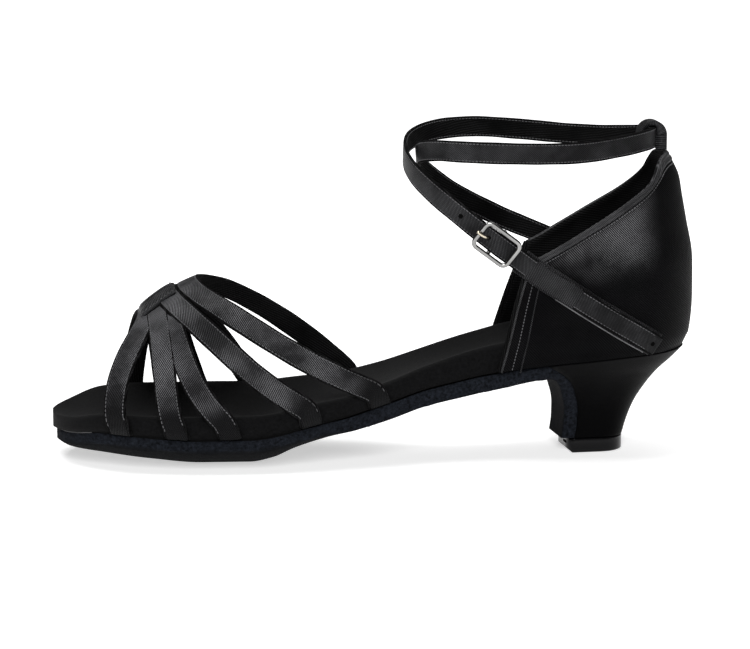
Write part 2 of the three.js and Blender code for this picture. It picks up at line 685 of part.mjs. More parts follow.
function ankleRun() {
  const ring = ankleRoute.map((row) => vec(row.along * lastLength, row.across * halfBall, row.up * fullRise));
  const outwards = ring.map((p) => vec((p.x - ankleAxis * lastLength) * ankleOval, p.y, 0).normalize());
  const tail = carrierRun(tailLayer, 7);
  const sewnNormals = medialRoute.map(({ from, up }) => counterNormal(1, from, up));
  const sewn = medialRoute.map(({ from, up }, i) => counterPoint(1, from, up)
    .addScaledVector(sewnNormals[i], bandGap + bindingStep + ankleStrapThickness * 0.6));
  const curve = new THREE.CatmullRomCurve3([...sewn, ...ring, ...tail.points.slice(1)], false, 'centripetal');
  const faces = new THREE.CatmullRomCurve3([...sewnNormals, ...outwards, ...tail.normals.slice(1)], false,
    'catmullrom');
  const [points, normals] = [[], []];
  for (let i = 0; i <= ankleSteps; i++) {
    points.push(curve.getPointAt(i / ankleSteps));
    normals.push(faces.getPoint(curve.getUtoTmapping(i / ankleSteps)).normalize());
  }
  return { points, normals };
}

const ankle = ankleRun();

// Strap with the hole that the prong passes through
function ankleGeometry() {
  const hole = new THREE.CylinderGeometry(holeRadius, holeRadius, 4 * ankleStrapThickness, 10);
  hole.rotateX(Math.PI / 2);
  hole.scale(holeStretch, 1, 1);
  hole.translate(prongHole, 0, 0);
  hole.applyMatrix4(bucklePlace());
  const strap = solid(ribbon(ankle.points, ankle.normals, ankleStrapWidth, ankleStrapThickness));
  return geometryOf(strap.subtract(solid(hole)).subtract(solid(belowSole())));
}

function carrierGeometry() {
  const run = carrierRun(carrierLayer, 12);
  const band = solid(ribbon(run.points, run.normals, carrierWidth, carrierThickness));
  return geometryOf(band.subtract(solid(belowSole())));
}

// Buckle frame on the ankle strap's own directions where it is fastened
function bucklePlace() {
  const behind = ankle.points.slice(Math.floor(ankle.points.length / 2));
  const i = ankle.points.indexOf(behind.find((p) => p.y < -halfBall * 0.8 && p.x > buckleAlong * lastLength));
  const along = ankle.points[i + 1].clone().sub(ankle.points[i - 1]).normalize();
  const wide = ankle.normals[i].clone().cross(along).normalize();
  const normal = along.clone().cross(wide).normalize();
  return new THREE.Matrix4().makeBasis(along, wide, normal).setPosition(ankle.points[i]);
}

function roundedOutline(length, width, radius) {
  const [l, w] = [length / 2, width / 2];
  const path = new THREE.Shape();
  path.moveTo(-l + radius, -w);
  path.lineTo(l - radius, -w);
  path.absarc(l - radius, -w + radius, radius, -Math.PI / 2, 0, false);
  path.lineTo(l, w - radius);
  path.absarc(l - radius, w - radius, radius, 0, Math.PI / 2, false);
  path.lineTo(-l + radius, w);
  path.absarc(-l + radius, w - radius, radius, Math.PI / 2, Math.PI, false);
  path.lineTo(-l, -w + radius);
  path.absarc(-l + radius, -w + radius, radius, Math.PI, Math.PI * 3 / 2, false);
  return path;
}

const buckleRadius = 2.6;
const barLevel = ankleStrapThickness / 2 + fitGap + buckleBar / 2;

function buckleGeometry() {
  const outline = roundedOutline(buckleLength, buckleWidth, buckleRadius);
  outline.holes.push(roundedOutline(buckleLength - 2 * buckleBar, buckleWidth - 2 * buckleBar,
    buckleRadius - buckleBar * 0.6));
  const ring = new THREE.ExtrudeGeometry(outline, { depth: buckleBar, bevelEnabled: false, curveSegments: 4 });
  ring.translate(0, 0, barLevel - buckleBar / 2);
  const bar = new THREE.CylinderGeometry(buckleBar / 2, buckleBar / 2, buckleWidth - buckleBar, 8);
  bar.translate(0, 0, -barLevel);
  const lug = (side) => {
    const box = new THREE.BoxGeometry(buckleBar, buckleBar, 2 * barLevel + buckleBar * 0.9);
    box.translate(0, side * (buckleWidth - buckleBar) / 2, 0);
    return box;
  };
  const joined = solid(ring).add(solid(bar)).add(solid(lug(1))).add(solid(lug(-1)));
  return geometryOf(joined).applyMatrix4(bucklePlace());
}

// Prong: from the middle bar up through the strap's hole and over the front bar
function prongGeometry() {
  const t = prongThickness / 2;
  const rise = barLevel + buckleBar / 2 + fitGap + t;
  const tip = -buckleLength / 2 - t;
  const path = new THREE.CatmullRomCurve3([
    vec(-buckleBar / 2 - fitGap - t, 0, -barLevel), vec(prongHole + t, 0, -barLevel), vec(prongHole, 0, 0),
    vec(prongHole - t, 0, barLevel), vec(mix(prongHole, tip, 0.5), 0, rise), vec(tip, 0, rise)],
  false, 'centripetal');
  const section = new THREE.Shape();
  section.absarc(0, 0, t, 0, 2 * Math.PI, false);
  const geometry = new THREE.ExtrudeGeometry(section, { steps: 14, extrudePath: path, curveSegments: 4 });
  return geometry.applyMatrix4(bucklePlace());
}

function material(color, roughness, metalness = 0) {
  return new THREE.MeshStandardMaterial({ color, roughness, metalness });
}

const satin = material(0x17171a, 0.42);
const suede = material(0x1a1a1c, 0.95);
const soleSuede = material(0x20242b, 0.98);
const rubber = material(0x0d0d0f, 0.3);
const nickel = material(0xc8c8c4, 0.25, 1);

const shoe = new THREE.Group();
function addPiece(name, geometry, finish) {
  const mesh = new THREE.Mesh(geometry, finish);
  mesh.name = name;
  shoe.add(mesh);
}

addPiece('outsole', outsoleGeometry(), soleSuede);
addPiece('insole', loft(insoleShares.map(insoleRing)), suede);
addPiece('heel', heelGeometry(), satin);
addPiece('heel_tip', tipGeometry(), rubber);
addPiece('vamp_straps', vampGeometry(), satin);
addPiece('counter', counterGeometry(), satin);
addPiece('back_loop', loopGeometry(), satin);
addPiece('ankle_strap', ankleGeometry(), satin);
addPiece('quarter_band', carrierGeometry(), satin);
addPiece('buckle_frame', buckleGeometry(), nickel);
addPiece('buckle_prong', prongGeometry(), nickel);

const box = new THREE.Box3().setFromObject(shoe);
shoe.position.set(-(box.min.x + box.max.x) / 2, -(box.min.y + box.max.y) / 2, -box.min.z);

export default shoe;
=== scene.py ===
from math import atan2, copysign, cos, exp, pi, radians, sin, sqrt
import random

import bmesh
import bpy
import numpy as np
from mathutils import Matrix, Vector


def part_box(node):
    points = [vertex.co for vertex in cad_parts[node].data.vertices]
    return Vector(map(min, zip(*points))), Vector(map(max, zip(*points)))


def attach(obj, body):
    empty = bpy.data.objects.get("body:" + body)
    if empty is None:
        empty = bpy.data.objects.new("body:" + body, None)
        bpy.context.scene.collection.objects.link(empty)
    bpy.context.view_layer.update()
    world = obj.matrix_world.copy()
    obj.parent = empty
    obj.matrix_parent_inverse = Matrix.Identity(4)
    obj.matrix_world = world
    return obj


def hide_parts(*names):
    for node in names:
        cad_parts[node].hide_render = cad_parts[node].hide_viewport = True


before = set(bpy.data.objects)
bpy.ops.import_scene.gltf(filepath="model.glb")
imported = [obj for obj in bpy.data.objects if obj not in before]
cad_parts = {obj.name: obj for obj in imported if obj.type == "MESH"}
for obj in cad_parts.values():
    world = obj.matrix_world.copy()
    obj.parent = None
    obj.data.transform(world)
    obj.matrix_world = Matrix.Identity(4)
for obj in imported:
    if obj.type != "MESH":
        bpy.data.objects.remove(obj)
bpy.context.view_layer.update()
chance = random.Random(7)

# Driving dimensions in millimetres, nearly all as in the CAD
LAST, BALL, SEAT, KNOT, COLLAR = 237.0, 76.0, 40.0, 56.0, 73.0
HALF_BALL = BALL / 2
SOLE_THICK, BED_THICK, SOLE_MARGIN, TOE_SETBACK, FIT_GAP = 4.0, 8.4, 0.6, 1.6, 0.3
WALL, BINDING = 2.2, 3.2
STRAP_WIDTH, STRAP_THICK, STRAP_GAP = 8.6, 1.5, 0.55
ANKLE_WIDTH, ANKLE_THICK = 7.8, 1.3
BAND_WIDTH, BAND_THICK, BAND_GAP = 9.4, 1.1, 0.45
TIP_HEIGHT, TIP_LENGTH, TIP_WIDTH, TIP_LEAD = 5.5, 20.5, 20.4, 1.1
FLAP_THICK, FLAP_GAP = 5.0, 0.05
BREAST, TIP_FRONT = 0.768, 0.8186 * LAST
SWING = radians(5)
BUCKLE_LENGTH, BUCKLE_WIDTH, BUCKLE_BAR, BUCKLE_ROUND = 16.6, 12.0, 1.6, 2.6
PRONG_THICK, PRONG_HOLE, HOLE_RADIUS, HOLE_PITCH = 1.2, -3.7, 0.9, 12.6
HOLES = (-1, 0, 4, 6)  # the strap's holes, counted from the one the prong is in
LOOP_WIDTH, LOOP_THICK, LOOP_BACK, LOOP_DEPTH, LOOP_HEIGHT = 8.0, 1.7, 3.0, 10.6, 10.9
THREAD, STITCH, THREAD_SHARE, THREAD_BOW, UNEVEN = 0.2, 1.35, 0.72, 0.16, 0.03
TOE, WIDEST = 0.0015, 0.23
# A strap's rounded side, its crown, and its stitched groove's place as a share of the half width
CLOTH_SIDE, CROWN, SEAM = 0.3, 0.18, 0.86
SIDES = ((-1, "outer"), (1, "inner"))
SLOTS = dict(outsole="sole_suede", insole="footbed_suede", heel="heel_satin", heel_tip="tip_plastic",
             counter="counter_satin", buckle_frame="nickel", buckle_prong="nickel")
SLOTS.update(dict.fromkeys(("vamp_straps", "back_loop", "ankle_strap", "quarter_band"), "strap_satin"))


def chart(columns, *rows):
    """Rows of numbers, each under the name of its column."""
    return [dict(zip(columns.split(), row)) for row in rows]


# Along the last: half width and centre in half ball widths, rise of the sole in seat heights, its turn-up
# in half ball widths, and shares of the sole's, the wall's and the footbed's thickness
SOLE = chart(
    "at half centre spring curl thick pad bed",
    (0.000, 0.80, 0.10, 0.205, 0.00, 0.95, 0.62, 0.62),
    (0.030, 0.83, 0.10, 0.130, 0.09, 1.00, 0.68, 0.70),
    (0.080, 0.88, 0.09, 0.090, 0.18, 1.00, 0.78, 0.86),
    (0.150, 0.95, 0.06, 0.040, 0.21, 1.00, 0.90, 0.98),
    (0.230, 1.00, 0.03, 0.000, 0.23, 1.00, 0.98, 1.00),
    (0.305, 0.98, 0.00, 0.000, 0.235, 1.00, 0.98, 1.00),
    (0.340, 0.94, -0.03, 0.040, 0.22, 1.00, 0.94, 0.98),
    (0.375, 0.87, -0.06, 0.135, 0.16, 1.05, 0.92, 0.95),
    (0.420, 0.78, -0.10, 0.225, 0.12, 1.10, 0.88, 0.92),
    (0.466, 0.69, -0.13, 0.300, 0.07, 1.37, 0.86, 0.88),
    (0.520, 0.59, -0.15, 0.387, 0.06, 1.50, 0.90, 0.86),
    (0.580, 0.51, -0.15, 0.502, 0.05, 1.48, 1.01, 0.86),
    (0.650, 0.50, -0.12, 0.588, 0.05, 1.52, 1.19, 0.88),
    (0.710, 0.56, -0.09, 0.668, 0.045, 1.44, 1.26, 0.90),
    (0.765, 0.64, -0.05, 0.773, 0.00, 1.30, 1.22, 0.90),
    (0.850, 0.69, -0.02, 0.818, 0.00, 1.35, 1.15, 0.90),
    (0.920, 0.69, 0.00, 0.869, 0.00, 1.15, 1.05, 0.90),
    (1.000, 0.66, 0.00, 0.900, 0.00, 1.00, 1.00, 0.90),
)
TOE_ROUND, HEEL_ROUND = (0.15, 2.2), (0.135, 2.1)
# Height over the foot, in knot heights
RIDGE = chart(
    "at ridge",
    (0.090, 0.90), (0.150, 0.965), (0.171, 1.020),
    (0.190, 1.070), (0.220, 1.135), (0.300, 1.27),
    (0.400, 1.40), (0.500, 1.52),
)
# Straps: place, foot and bow on each side; place, layer and rise at the knot; rib direction, degrees
STRAPS = chart(
    "edge foot bow apex layer rise ribs",
    ((0.097, 0.131), (0.011, 0.006), (2.60, 1.3), 0.155, 0.0, 0.0, 18),
    ((0.180, 0.184), (0.013, 0.010), (0.60, 0.8), 0.168, 0.4, 0.3, 40),
    ((0.256, 0.232), (0.018, 0.014), (0.50, 0.9), 0.180, 0.2, 0.0, 62),
    ((0.386, 0.320), (0.011, 0.011), (0.76, 1.0), 0.186, 0.6, 1.5, 32),
    ((0.491, 0.470), (0.014, 0.010), (0.84, 1.12), 0.216, 1.3, 0.2, 25),
)
# Wrap at the knot, which lies over the straps' joined ends
WRAP = dict(at=0.172, up=1.02, length=16.4, height=8.0, width=21.7, slope=radians(36))
# Up the counter: shape of its back, its front edge on each side, and its width
COUNTER = chart(
    "up back lateral medial side",
    (-0.08, -0.004, 0.694, 0.700, 1.00),
    (0.00, -0.001, 0.701, 0.708, 1.00),
    (0.08, 0.010, 0.707, 0.716, 1.02),
    (0.25, 0.014, 0.719, 0.734, 1.04),
    (0.45, 0.013, 0.736, 0.758, 1.06),
    (0.66, 0.002, 0.758, 0.784, 0.98),
    (0.79, -0.005, 0.772, 0.804, 0.87),
    (0.87, -0.009, 0.782, 0.812, 0.79),
    (0.95, -0.020, 0.792, 0.820, 0.70),
    (1.00, -0.030, 0.800, 0.826, 0.64),
)
# Top edge from front to back, in collar heights
TOPLINE = chart(
    "back lateral medial",
    (0.00, 0.490, 0.500), (0.05, 0.515, 0.520),
    (0.17, 0.584, 0.578), (0.32, 0.668, 0.650),
    (0.46, 0.740, 0.714), (0.58, 0.800, 0.768),
    (0.70, 0.862, 0.832), (0.78, 0.920, 0.888),
    (0.85, 0.966, 0.945), (0.92, 0.990, 0.985),
    (1.00, 1.000, 1.000),
)
# Up the heel: how far back, sides and breast have flared
HEEL = chart(
    "up back side breast",
    (0.00, 0.00, 0.00, 0.00), (0.16, 0.07, 0.05, -0.06),
    (0.36, 0.19, 0.14, -0.08), (0.58, 0.40, 0.33, 0.03),
    (0.74, 0.60, 0.53, 0.20), (0.87, 0.81, 0.76, 0.50),
    (1.00, 1.00, 1.00, 1.00),
)
# Ankle strap: shares of the last's length, of half the ball width, and of the height to the collar
ANKLE = [
    (0.732, 0.81, 0.742), (0.680, 0.73, 0.798), (0.640, 0.58, 0.848), (0.604, 0.36, 0.909),
    (0.580, 0.08, 0.968), (0.575, -0.24, 1.008), (0.594, -0.54, 1.025), (0.630, -0.74, 1.027),
    (0.690, -0.83, 1.024), (0.760, -0.82, 1.020), (0.822, -0.71, 1.020), (0.884, -0.48, 1.028),
    (0.935, -0.23, 1.040), (0.953, 0.00, 1.044), (0.939, 0.23, 1.040), (0.892, 0.46, 1.032),
    (0.826, 0.70, 1.033), (0.755, 0.80, 1.045), (0.680, 0.78, 1.056), (0.612, 0.60, 1.050),
    (0.569, 0.28, 1.028), (0.555, -0.08, 0.994), (0.562, -0.42, 0.950), (0.587, -0.68, 0.896),
    (0.622, -0.85, 0.835), (0.662, -0.93, 0.768), (0.700, -0.93, 0.708),
]
ANKLE_AXIS, ANKLE_OVAL, BUCKLE_ALONG = 0.75, 0.62, 0.680
SEWN = [(0.22, 0.480), (0.11, 0.520)]
# Middle of the band on the outer quarter
BAND = chart(
    "back up",
    (-0.06, 0.490), (0.08, 0.417), (0.24, 0.336),
    (0.42, 0.237), (0.60, 0.137), (0.76, 0.052),
)


def mix(a, b, t):
    return a + (b - a) * t


def smooth(value, low, high):
    t = min(1.0, max(0.0, (value - low) / (high - low)))
    return t * t * (3 - 2 * t)


def spread(low, high, count):
    return [mix(low, high, i / (count - 1)) for i in range(count)]


def look(table, key, place):
    """Smooth value of one column of a table at a place in its first column."""
    by, last = next(iter(table[0])), len(table) - 1
    if place <= table[0][by]:
        return table[0][key]
    if place >= table[last][by]:
        return table[last][key]
    i = next(n for n, row in enumerate(table) if row[by] > place) - 1

    def slope(a, b):
        return (table[b][key] - table[a][key]) / (table[b][by] - table[a][by])

    here = slope(i, i + 1)

    def tangent(a, b, c):
        if a < 0 or c > last:
            return here
        before, after = slope(a, b), slope(b, c)
        return 0.0 if before * after <= 0 else 2 * before * after / (before + after)

    span = table[i + 1][by] - table[i][by]
    t = (place - table[i][by]) / span
    m0, m1 = tangent(i - 1, i, i + 1) * span, tangent(i, i + 1, i + 2) * span
    return ((2 * t**3 - 3 * t**2 + 1) * table[i][key] + (t**3 - 2 * t**2 + t) * m0
            + (3 * t**2 - 2 * t**3) * table[i + 1][key] + (t**3 - t**2) * m1)


def round_end(distance, rule):
    t = 1 - distance / rule[0]
    return 1.0 if t <= 0 else (1 - min(t, 1) ** rule[1]) ** (1 / rule[1])


def plan_half(at):
    return look(SOLE, "half", at) * HALF_BALL * round_end(at, TOE_ROUND) * round_end(1 - at, HEEL_ROUND)


def plan_centre(at):
    return look(SOLE, "centre", at) * HALF_BALL


def sole_levels(at):
    """Bottom of the sole in the middle, turn-up at its edge, thickness."""
    return (look(SOLE, "spring", at) * SEAT, look(SOLE, "curl", at) * HALF_BALL,
            look(SOLE, "thick", at) * SOLE_THICK)


def sole_line(at):
    return sum(sole_levels(at))


def bed_edge(at):
    return sole_line(at) + FIT_GAP + look(SOLE, "pad", at) * BED_THICK


def curl_shape(q):
    flat = 0.3
    return max(0.0, (abs(q) - flat) / (1 - flat)) ** 1.7


def outsole_half(at):
    plan = max(at - TOE_SETBACK / LAST * (1 - at), TOE)
    return plan_half(plan) + SOLE_MARGIN * smooth(at, 0, 0.06)


def sole_top(at, across):
    bottom, curl, thick = sole_levels(at)
    return bottom + curl * curl_shape(min(1.0, abs(across) / outsole_half(at))) + thick


# From the last's origin to the CAD frame's
shift = Vector((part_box("insole")[0].x - TOE * LAST / 1000,
                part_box("outsole")[1].y - (plan_centre(WIDEST) + outsole_half(WIDEST)) / 1000,
                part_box("heel_tip")[0].z))


def metres(p):
    return tuple(value / 1000 + move for value, move in zip(p, shift))


def into_scene(name, data):
    made = bpy.data.objects.new(name, data)
    bpy.context.scene.collection.objects.link(made)
    return made


# Meshes
def add_piece(name, points, faces, node, materials, uvs=None, pick=None, marks=None):
    mesh = bpy.data.meshes.new(name)
    mesh.from_pydata([metres(p) for p in points], [], faces)
    if uvs is not None:
        layer = mesh.uv_layers.new(name="cloth")
        corner = np.zeros(len(mesh.loops), dtype=np.int32)
        mesh.loops.foreach_get("vertex_index", corner)
        layer.data.foreach_set("uv", (np.asarray(uvs, dtype=np.float32) / 1000)[corner].ravel())
    if marks is not None:
        mesh.attributes.new("edge", "FLOAT", "POINT").data.foreach_set("value", marks)
    for material in materials:
        mesh.materials.append(material)
    if pick is not None:
        mesh.polygons.foreach_set("material_index", pick)
    form = bmesh.new()
    form.from_mesh(mesh)
    bmesh.ops.recalc_face_normals(form, faces=form.faces)
    form.to_mesh(mesh)
    form.free()
    mesh.polygons.foreach_set("use_smooth", [True] * len(mesh.polygons))
    piece = into_scene(name, mesh)
    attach(piece, "root")
    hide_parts(node)
    return piece


def ring_faces(rows, count, start=0):
    """Quads between rings of points, and a cap at each end."""
    faces = []
    for r in range(rows - 1):
        for k in range(count):
            a, b = start + r * count + k, start + r * count + (k + 1) % count
            faces.append((a, b, b + count, a + count))
    faces.append(tuple(range(start, start + count)))
    faces.append(tuple(range(start + (rows - 1) * count, start + rows * count)))
    return faces


def loft_piece(name, rings, node, materials, uvs=None, pick=None, marks=None):
    """Closed form from rings; pick gives the material of each strip, and the caps get the first."""
    faces = ring_faces(len(rings), len(rings[0]))
    picks = pick * (len(rings) - 1) + [0, 0] if pick else None
    flat = [p for ring in rings for p in ring]
    return add_piece(name, flat, faces, node, materials, uvs, picks, marks)


class Run:
    """A line with its own directions: along it, across the cloth and out of it."""

    def __init__(self, points, normals):
        self.points = points
        self.along, self.wide, self.normals, self.length = [], [], [], [0.0]
        for i, p in enumerate(points):
            along = (points[min(i + 1, len(points) - 1)] - points[max(i - 1, 0)]).normalized()
            wide = along.cross(normals[i]).normalized()
            self.along.append(along)
            self.wide.append(wide)
            self.normals.append(wide.cross(along).normalized())
            if i:
                self.length.append(self.length[-1] + (p - points[i - 1]).length)

    def before(self, along):
        """Number of the last point before a length along the line."""
        return max(0, min(int(np.searchsorted(self.length, along)) - 1, len(self.points) - 2))

    def place(self, along, across, out):
        i = self.before(along)
        t = (along - self.length[i]) / max(self.length[i + 1] - self.length[i], 1e-6)
        wide = self.wide[i].lerp(self.wide[i + 1], t)
        normal = self.normals[i].lerp(self.normals[i + 1], t)
        return self.points[i].lerp(self.points[i + 1], t) + wide * across + normal * out

    def out(self, along):
        return self.normals[self.before(along)]


def circle(count, start=0.0):
    turns = [2 * pi * (k + start) / count for k in range(count)]
    return [(cos(turn), sin(turn)) for turn in turns]


def mirrored(wall):
    """The other side's part of a section, in the order that closes the ring."""
    return [(-across, *rest) for across, *rest in reversed(wall)]


def seam_place(width):
    return SEAM * (width / 2 - CLOTH_SIDE)


def cloth_section(width, thickness, groove):
    half, rise = width / 2, thickness / 2
    shares = [0, 0.3, 0.6, 0.74, 0.80, 0.83, 0.86, 0.89, 0.92, 0.97, 1]
    shares = [-s for s in shares[:0:-1]] + shares
    over = []
    for s in shares:
        dent = groove * exp(-((abs(s) - SEAM) / 0.035) ** 2)
        over.append((s * (half - CLOTH_SIDE), rise - CROWN * s**4 - dent))
    side = [(half, 0.45 * rise), (half + 0.04, 0), (half, -0.6 * rise)]
    under = [(s * (half - CLOTH_SIDE), -rise) for s in (1, 0.5, 0, -0.5, -1)]
    return over + side + under + mirrored(side)


def cloth_piece(name, run, width, thickness, node, materials, trim=None, wave=0.0,
                inner=False, groove=0.22, ends=None):
    """Flat strap along a run, with stitched grooves; inner gives its underside the second material, and ends
    marks both ends for painted shade.
    """
    section = cloth_section(width, thickness, groove)
    rings, uvs, marks, strip = [], [], [], None
    ripple = [chance.uniform(0, 6.28) for _ in range(4)]
    for i, p in enumerate(run.points):
        s = run.length[i]
        bend = wave * (sin(s / 3.1 + ripple[0]) + 0.6 * sin(s / 1.7 + ripple[1]))
        swell = 1 + 0.012 * sin(s / 5.3 + ripple[2]) + 0.008 * sin(s / 2.2 + ripple[3])
        ring = []
        for w, n in section:
            q = p + run.wide[i] * (w * swell)
            q = q + run.normals[i] * (n + bend * (1 - abs(w) / width))
            ring.append(trim(q) if trim else q)
            uvs.append((s, w))
            # Marks near both ends: painted shade, darker where the strap turns down against the footbed.
            marks.append(1 - smooth(min(s, run.length[-1] - s), *ends) if ends else 0.0)
        rings.append(ring)
    if inner:
        level, margin = 0.46 * thickness / 2, 0.91 * (width / 2 - CLOTH_SIDE)
        pairs = zip(section, section[1:] + section[:1])
        strip = [int(max(a[1], b[1]) <= level or min(abs(a[0]), abs(b[0])) >= margin) for a, b in pairs]
    loft_piece(name, rings, node, materials, uvs, strip, marks)


def above_sole(p):
    at = p.x / LAST
    if at > 0.97:
        return p
    across = abs(p.y - plan_centre(at))
    floor = (sole_top(at, across) if across < outsole_half(at) else sole_line(at)) + FIT_GAP
    return Vector((p.x, p.y, max(p.z, floor)))


def thread_piece(name, runs, node, material, radius=THREAD, sides=5):
    """Short threads, each a bent round piece with closed ends."""
    points, faces, uvs = [], [], []
    for line, out in runs:
        start, length = len(points), len(line)
        for j, p in enumerate(line):
            along = (line[min(j + 1, length - 1)] - line[max(j - 1, 0)]).normalized()
            wide = along.cross(out).normalized()
            up = wide.cross(along)
            thin = 0.6 if j in (0, length - 1) else 1.0
            for k, (c, s) in enumerate(circle(sides)):
                points.append(p + (wide * c + up * s) * radius * thin)
                uvs.append((j, k))
        faces += ring_faces(length, sides, start)
    add_piece(name, points, faces, node, [material], uvs)


def stitches(run, across, out, start, end, pitch=STITCH):
    runs, s = [], start
    while s + pitch < end:
        length = pitch * THREAD_SHARE
        line = []
        for t in (0, 0.25, 0.75, 1):
            lift = THREAD_BOW * (sin(pi * t) - 0.5)
            line.append(run.place(s + length * t, across, out + lift))
        runs.append((line, run.out(s)))
        s += pitch * chance.uniform(1 - UNEVEN, 1 + UNEVEN)
    return runs


# Materials
class Maker:
    def __init__(self, name):
        self.material = bpy.data.materials.new(name)
        self.material.use_nodes = True
        self.tree = self.material.node_tree
        self.shader = self.tree.nodes["Principled BSDF"]
        self.where = self.node("ShaderNodeTexCoord").outputs["Object"]

    # The mesh's edge marks: the suede's cut edge, and painted shade on satin.
    def mark(self):
        return self.node("ShaderNodeAttribute", dict(attribute_name="edge")).outputs["Fac"]

    def node(self, kind, settings=None, **inputs):
        made = self.tree.nodes.new(kind)
        for key, value in (settings or {}).items():
            setattr(made, key, value)
        for key, value in inputs.items():
            self.put(made, int(key[1:]) if key[1:].isdigit() else key.replace("_", " "), value)
        return made

    def put(self, made, key, value):
        socket = made.inputs[key]
        if isinstance(value, bpy.types.NodeSocket):
            self.tree.links.new(value, socket)
        else:
            socket.default_value = value

    def math(self, operation, a, b=0.0, clamp=False):
        made = self.node("ShaderNodeMath", dict(operation=operation, use_clamp=clamp), i0=a, i1=b)
        return made.outputs[0]

    def times(self, a, b, clamp=False):
        return self.math("MULTIPLY", a, b, clamp)

    def plus(self, a, b):
        return self.math("ADD", a, b)

    def noise(self, scale, detail=4.0, rough=0.6, where=None):
        made = self.node("ShaderNodeTexNoise", Vector=where or self.where, Scale=scale, Detail=detail,
                         Roughness=rough)
        return made.outputs["Fac"]

    def ramp(self, value, low, high, start=0.0, end=1.0):
        made = self.node("ShaderNodeMapRange", Value=value, From_Min=low, From_Max=high, To_Min=start,
                         To_Max=end)
        return made.outputs[0]

    def blend(self, share, a, b):
        made = self.node("ShaderNodeMix", dict(data_type="RGBA"))
        self.put(made, 0, share)
        for key, value in ((6, a), (7, b)):
            self.put(made, key, (*value, 1.0) if isinstance(value, tuple) else value)
        return made.outputs[2]

    def bump(self, height, depth, strength=1.0, below=None):
        made = self.node("ShaderNodeBump", Height=height, Strength=strength, Distance=depth)
        if below is not None:
            self.put(made, "Normal", below)
        return made.outputs[0]

    def finish(self, colour, roughness, normal, **fixed):
        self.put(self.shader, "Base Color", colour)
        self.put(self.shader, "Roughness", roughness)
        self.put(self.shader, "Normal", normal)
        for key, value in fixed.items():
            self.shader.inputs[key.replace("_", " ")].default_value = value
        return self.material


MUTED = (0.4, 0.4, 0.41, 1.0)  # black fibre swallows most of what it mirrors


def twill(name, angle, pitch, groove, rib, rough, depth, wander=0.12, smoothness=0.0, gloss=0.2, painted_shade=0.0,
          cloud=55.0):
    """Woven satin: slanting ribs of short threads, in the cloth's own metres."""
    m = Maker(name)
    cloth = m.node("ShaderNodeUVMap", dict(uv_map="cloth")).outputs[0]
    parts = m.node("ShaderNodeSeparateXYZ", i0=cloth)
    u, v = parts.outputs[0], parts.outputs[1]
    turn = radians(angle)
    across = m.plus(m.times(u, -sin(turn)), m.times(v, cos(turn)))
    along = m.plus(m.times(u, cos(turn)), m.times(v, sin(turn)))
    drift = m.noise(180.0, 3.0)
    phase = m.plus(m.times(across, 1 / pitch), m.times(drift, wander * 8))
    wave = m.math("SINE", m.times(phase, 2 * pi))
    ribs = m.ramp(wave, -0.35, 0.95)
    shifted = m.plus(m.times(along, 0.8 / pitch), m.times(phase, 0.5))
    threads = m.ramp(m.math("SINE", m.times(shifted, 2 * pi)), -1.0, 0.4)
    weave = m.times(ribs, m.plus(m.times(threads, 0.45), 0.55))
    # Random patches of brighter ribs: painted sheen.
    sheen_patches = m.ramp(m.noise(cloud, 4.0), 0.38, 0.64)
    shade = m.times(weave, m.plus(m.times(sheen_patches, 0.88), 0.18), clamp=True)
    if smoothness:
        shade = m.times(shade, 1 - smoothness)
    # Painted shade: ribs darkened where the marks are high, at the straps' ends and round the counter's
    # painted highlight.
    if painted_shade:
        shade = m.times(shade, m.math("SUBTRACT", 1.0, m.times(m.mark(), painted_shade)))
    colour = m.blend(shade, groove, rib)
    roughness = m.plus(m.times(weave, -0.10), rough + 0.08)
    fibre = m.bump(m.noise(5200.0, 2.0), 0.00003, 0.5)
    normal = m.bump(weave, depth, 0.9, fibre)
    return m.finish(colour, roughness, normal, Specular_IOR_Level=gloss, Specular_Tint=MUTED,
                    Anisotropic=0.35)


def suede(name, dark, light, edge, nap=0.00012, sheen=0.03):
    """Napped leather: soft clouds, fine fibre, and a cut edge of its own where the mesh says so."""
    m = Maker(name)
    clouds = m.ramp(m.noise(45.0, 6.0, 0.65), 0.25, 0.8)
    fibre = m.noise(1500.0, 5.0, 0.75)
    grain = m.ramp(fibre, 0.3, 0.75)
    share = m.times(m.plus(m.times(clouds, 0.6), 0.4), grain)
    colour = m.blend(share, dark, light)
    flecks = m.ramp(m.noise(900.0, 4.0, 0.8), 0.35, 0.7)
    cut = m.blend(flecks, *edge)
    colour = m.blend(m.times(m.mark(), m.ramp(fibre, 0.2, 0.5), clamp=True), colour, cut)
    normal = m.bump(m.noise(320.0, 4.0), nap * 1.5, 0.5, m.bump(fibre, nap, 0.9))
    return m.finish(colour, 0.93, normal, Sheen_Weight=sheen, Sheen_Roughness=0.55, Specular_IOR_Level=0.06)


def plain(name, dark, light, rough, scale=400.0, depth=0.00004, **fixed):
    """Smooth finish with faint clouds, fine scuffs and uneven gloss."""
    m = Maker(name)
    clouds = m.ramp(m.noise(70.0, 5.0), 0.3, 0.7)
    stretch = m.node("ShaderNodeMapping", Vector=m.where, Scale=(1.0, 1.0, 6.0)).outputs[0]
    scuffs = m.ramp(m.noise(scale, 6.0, 0.7, stretch), 0.45, 0.7)
    colour = m.blend(clouds, dark, light)
    roughness = m.plus(m.times(scuffs, 0.12), rough)
    normal = m.bump(m.noise(scale * 2, 3.0), depth, 0.4)
    return m.finish(colour, roughness, normal, **fixed)
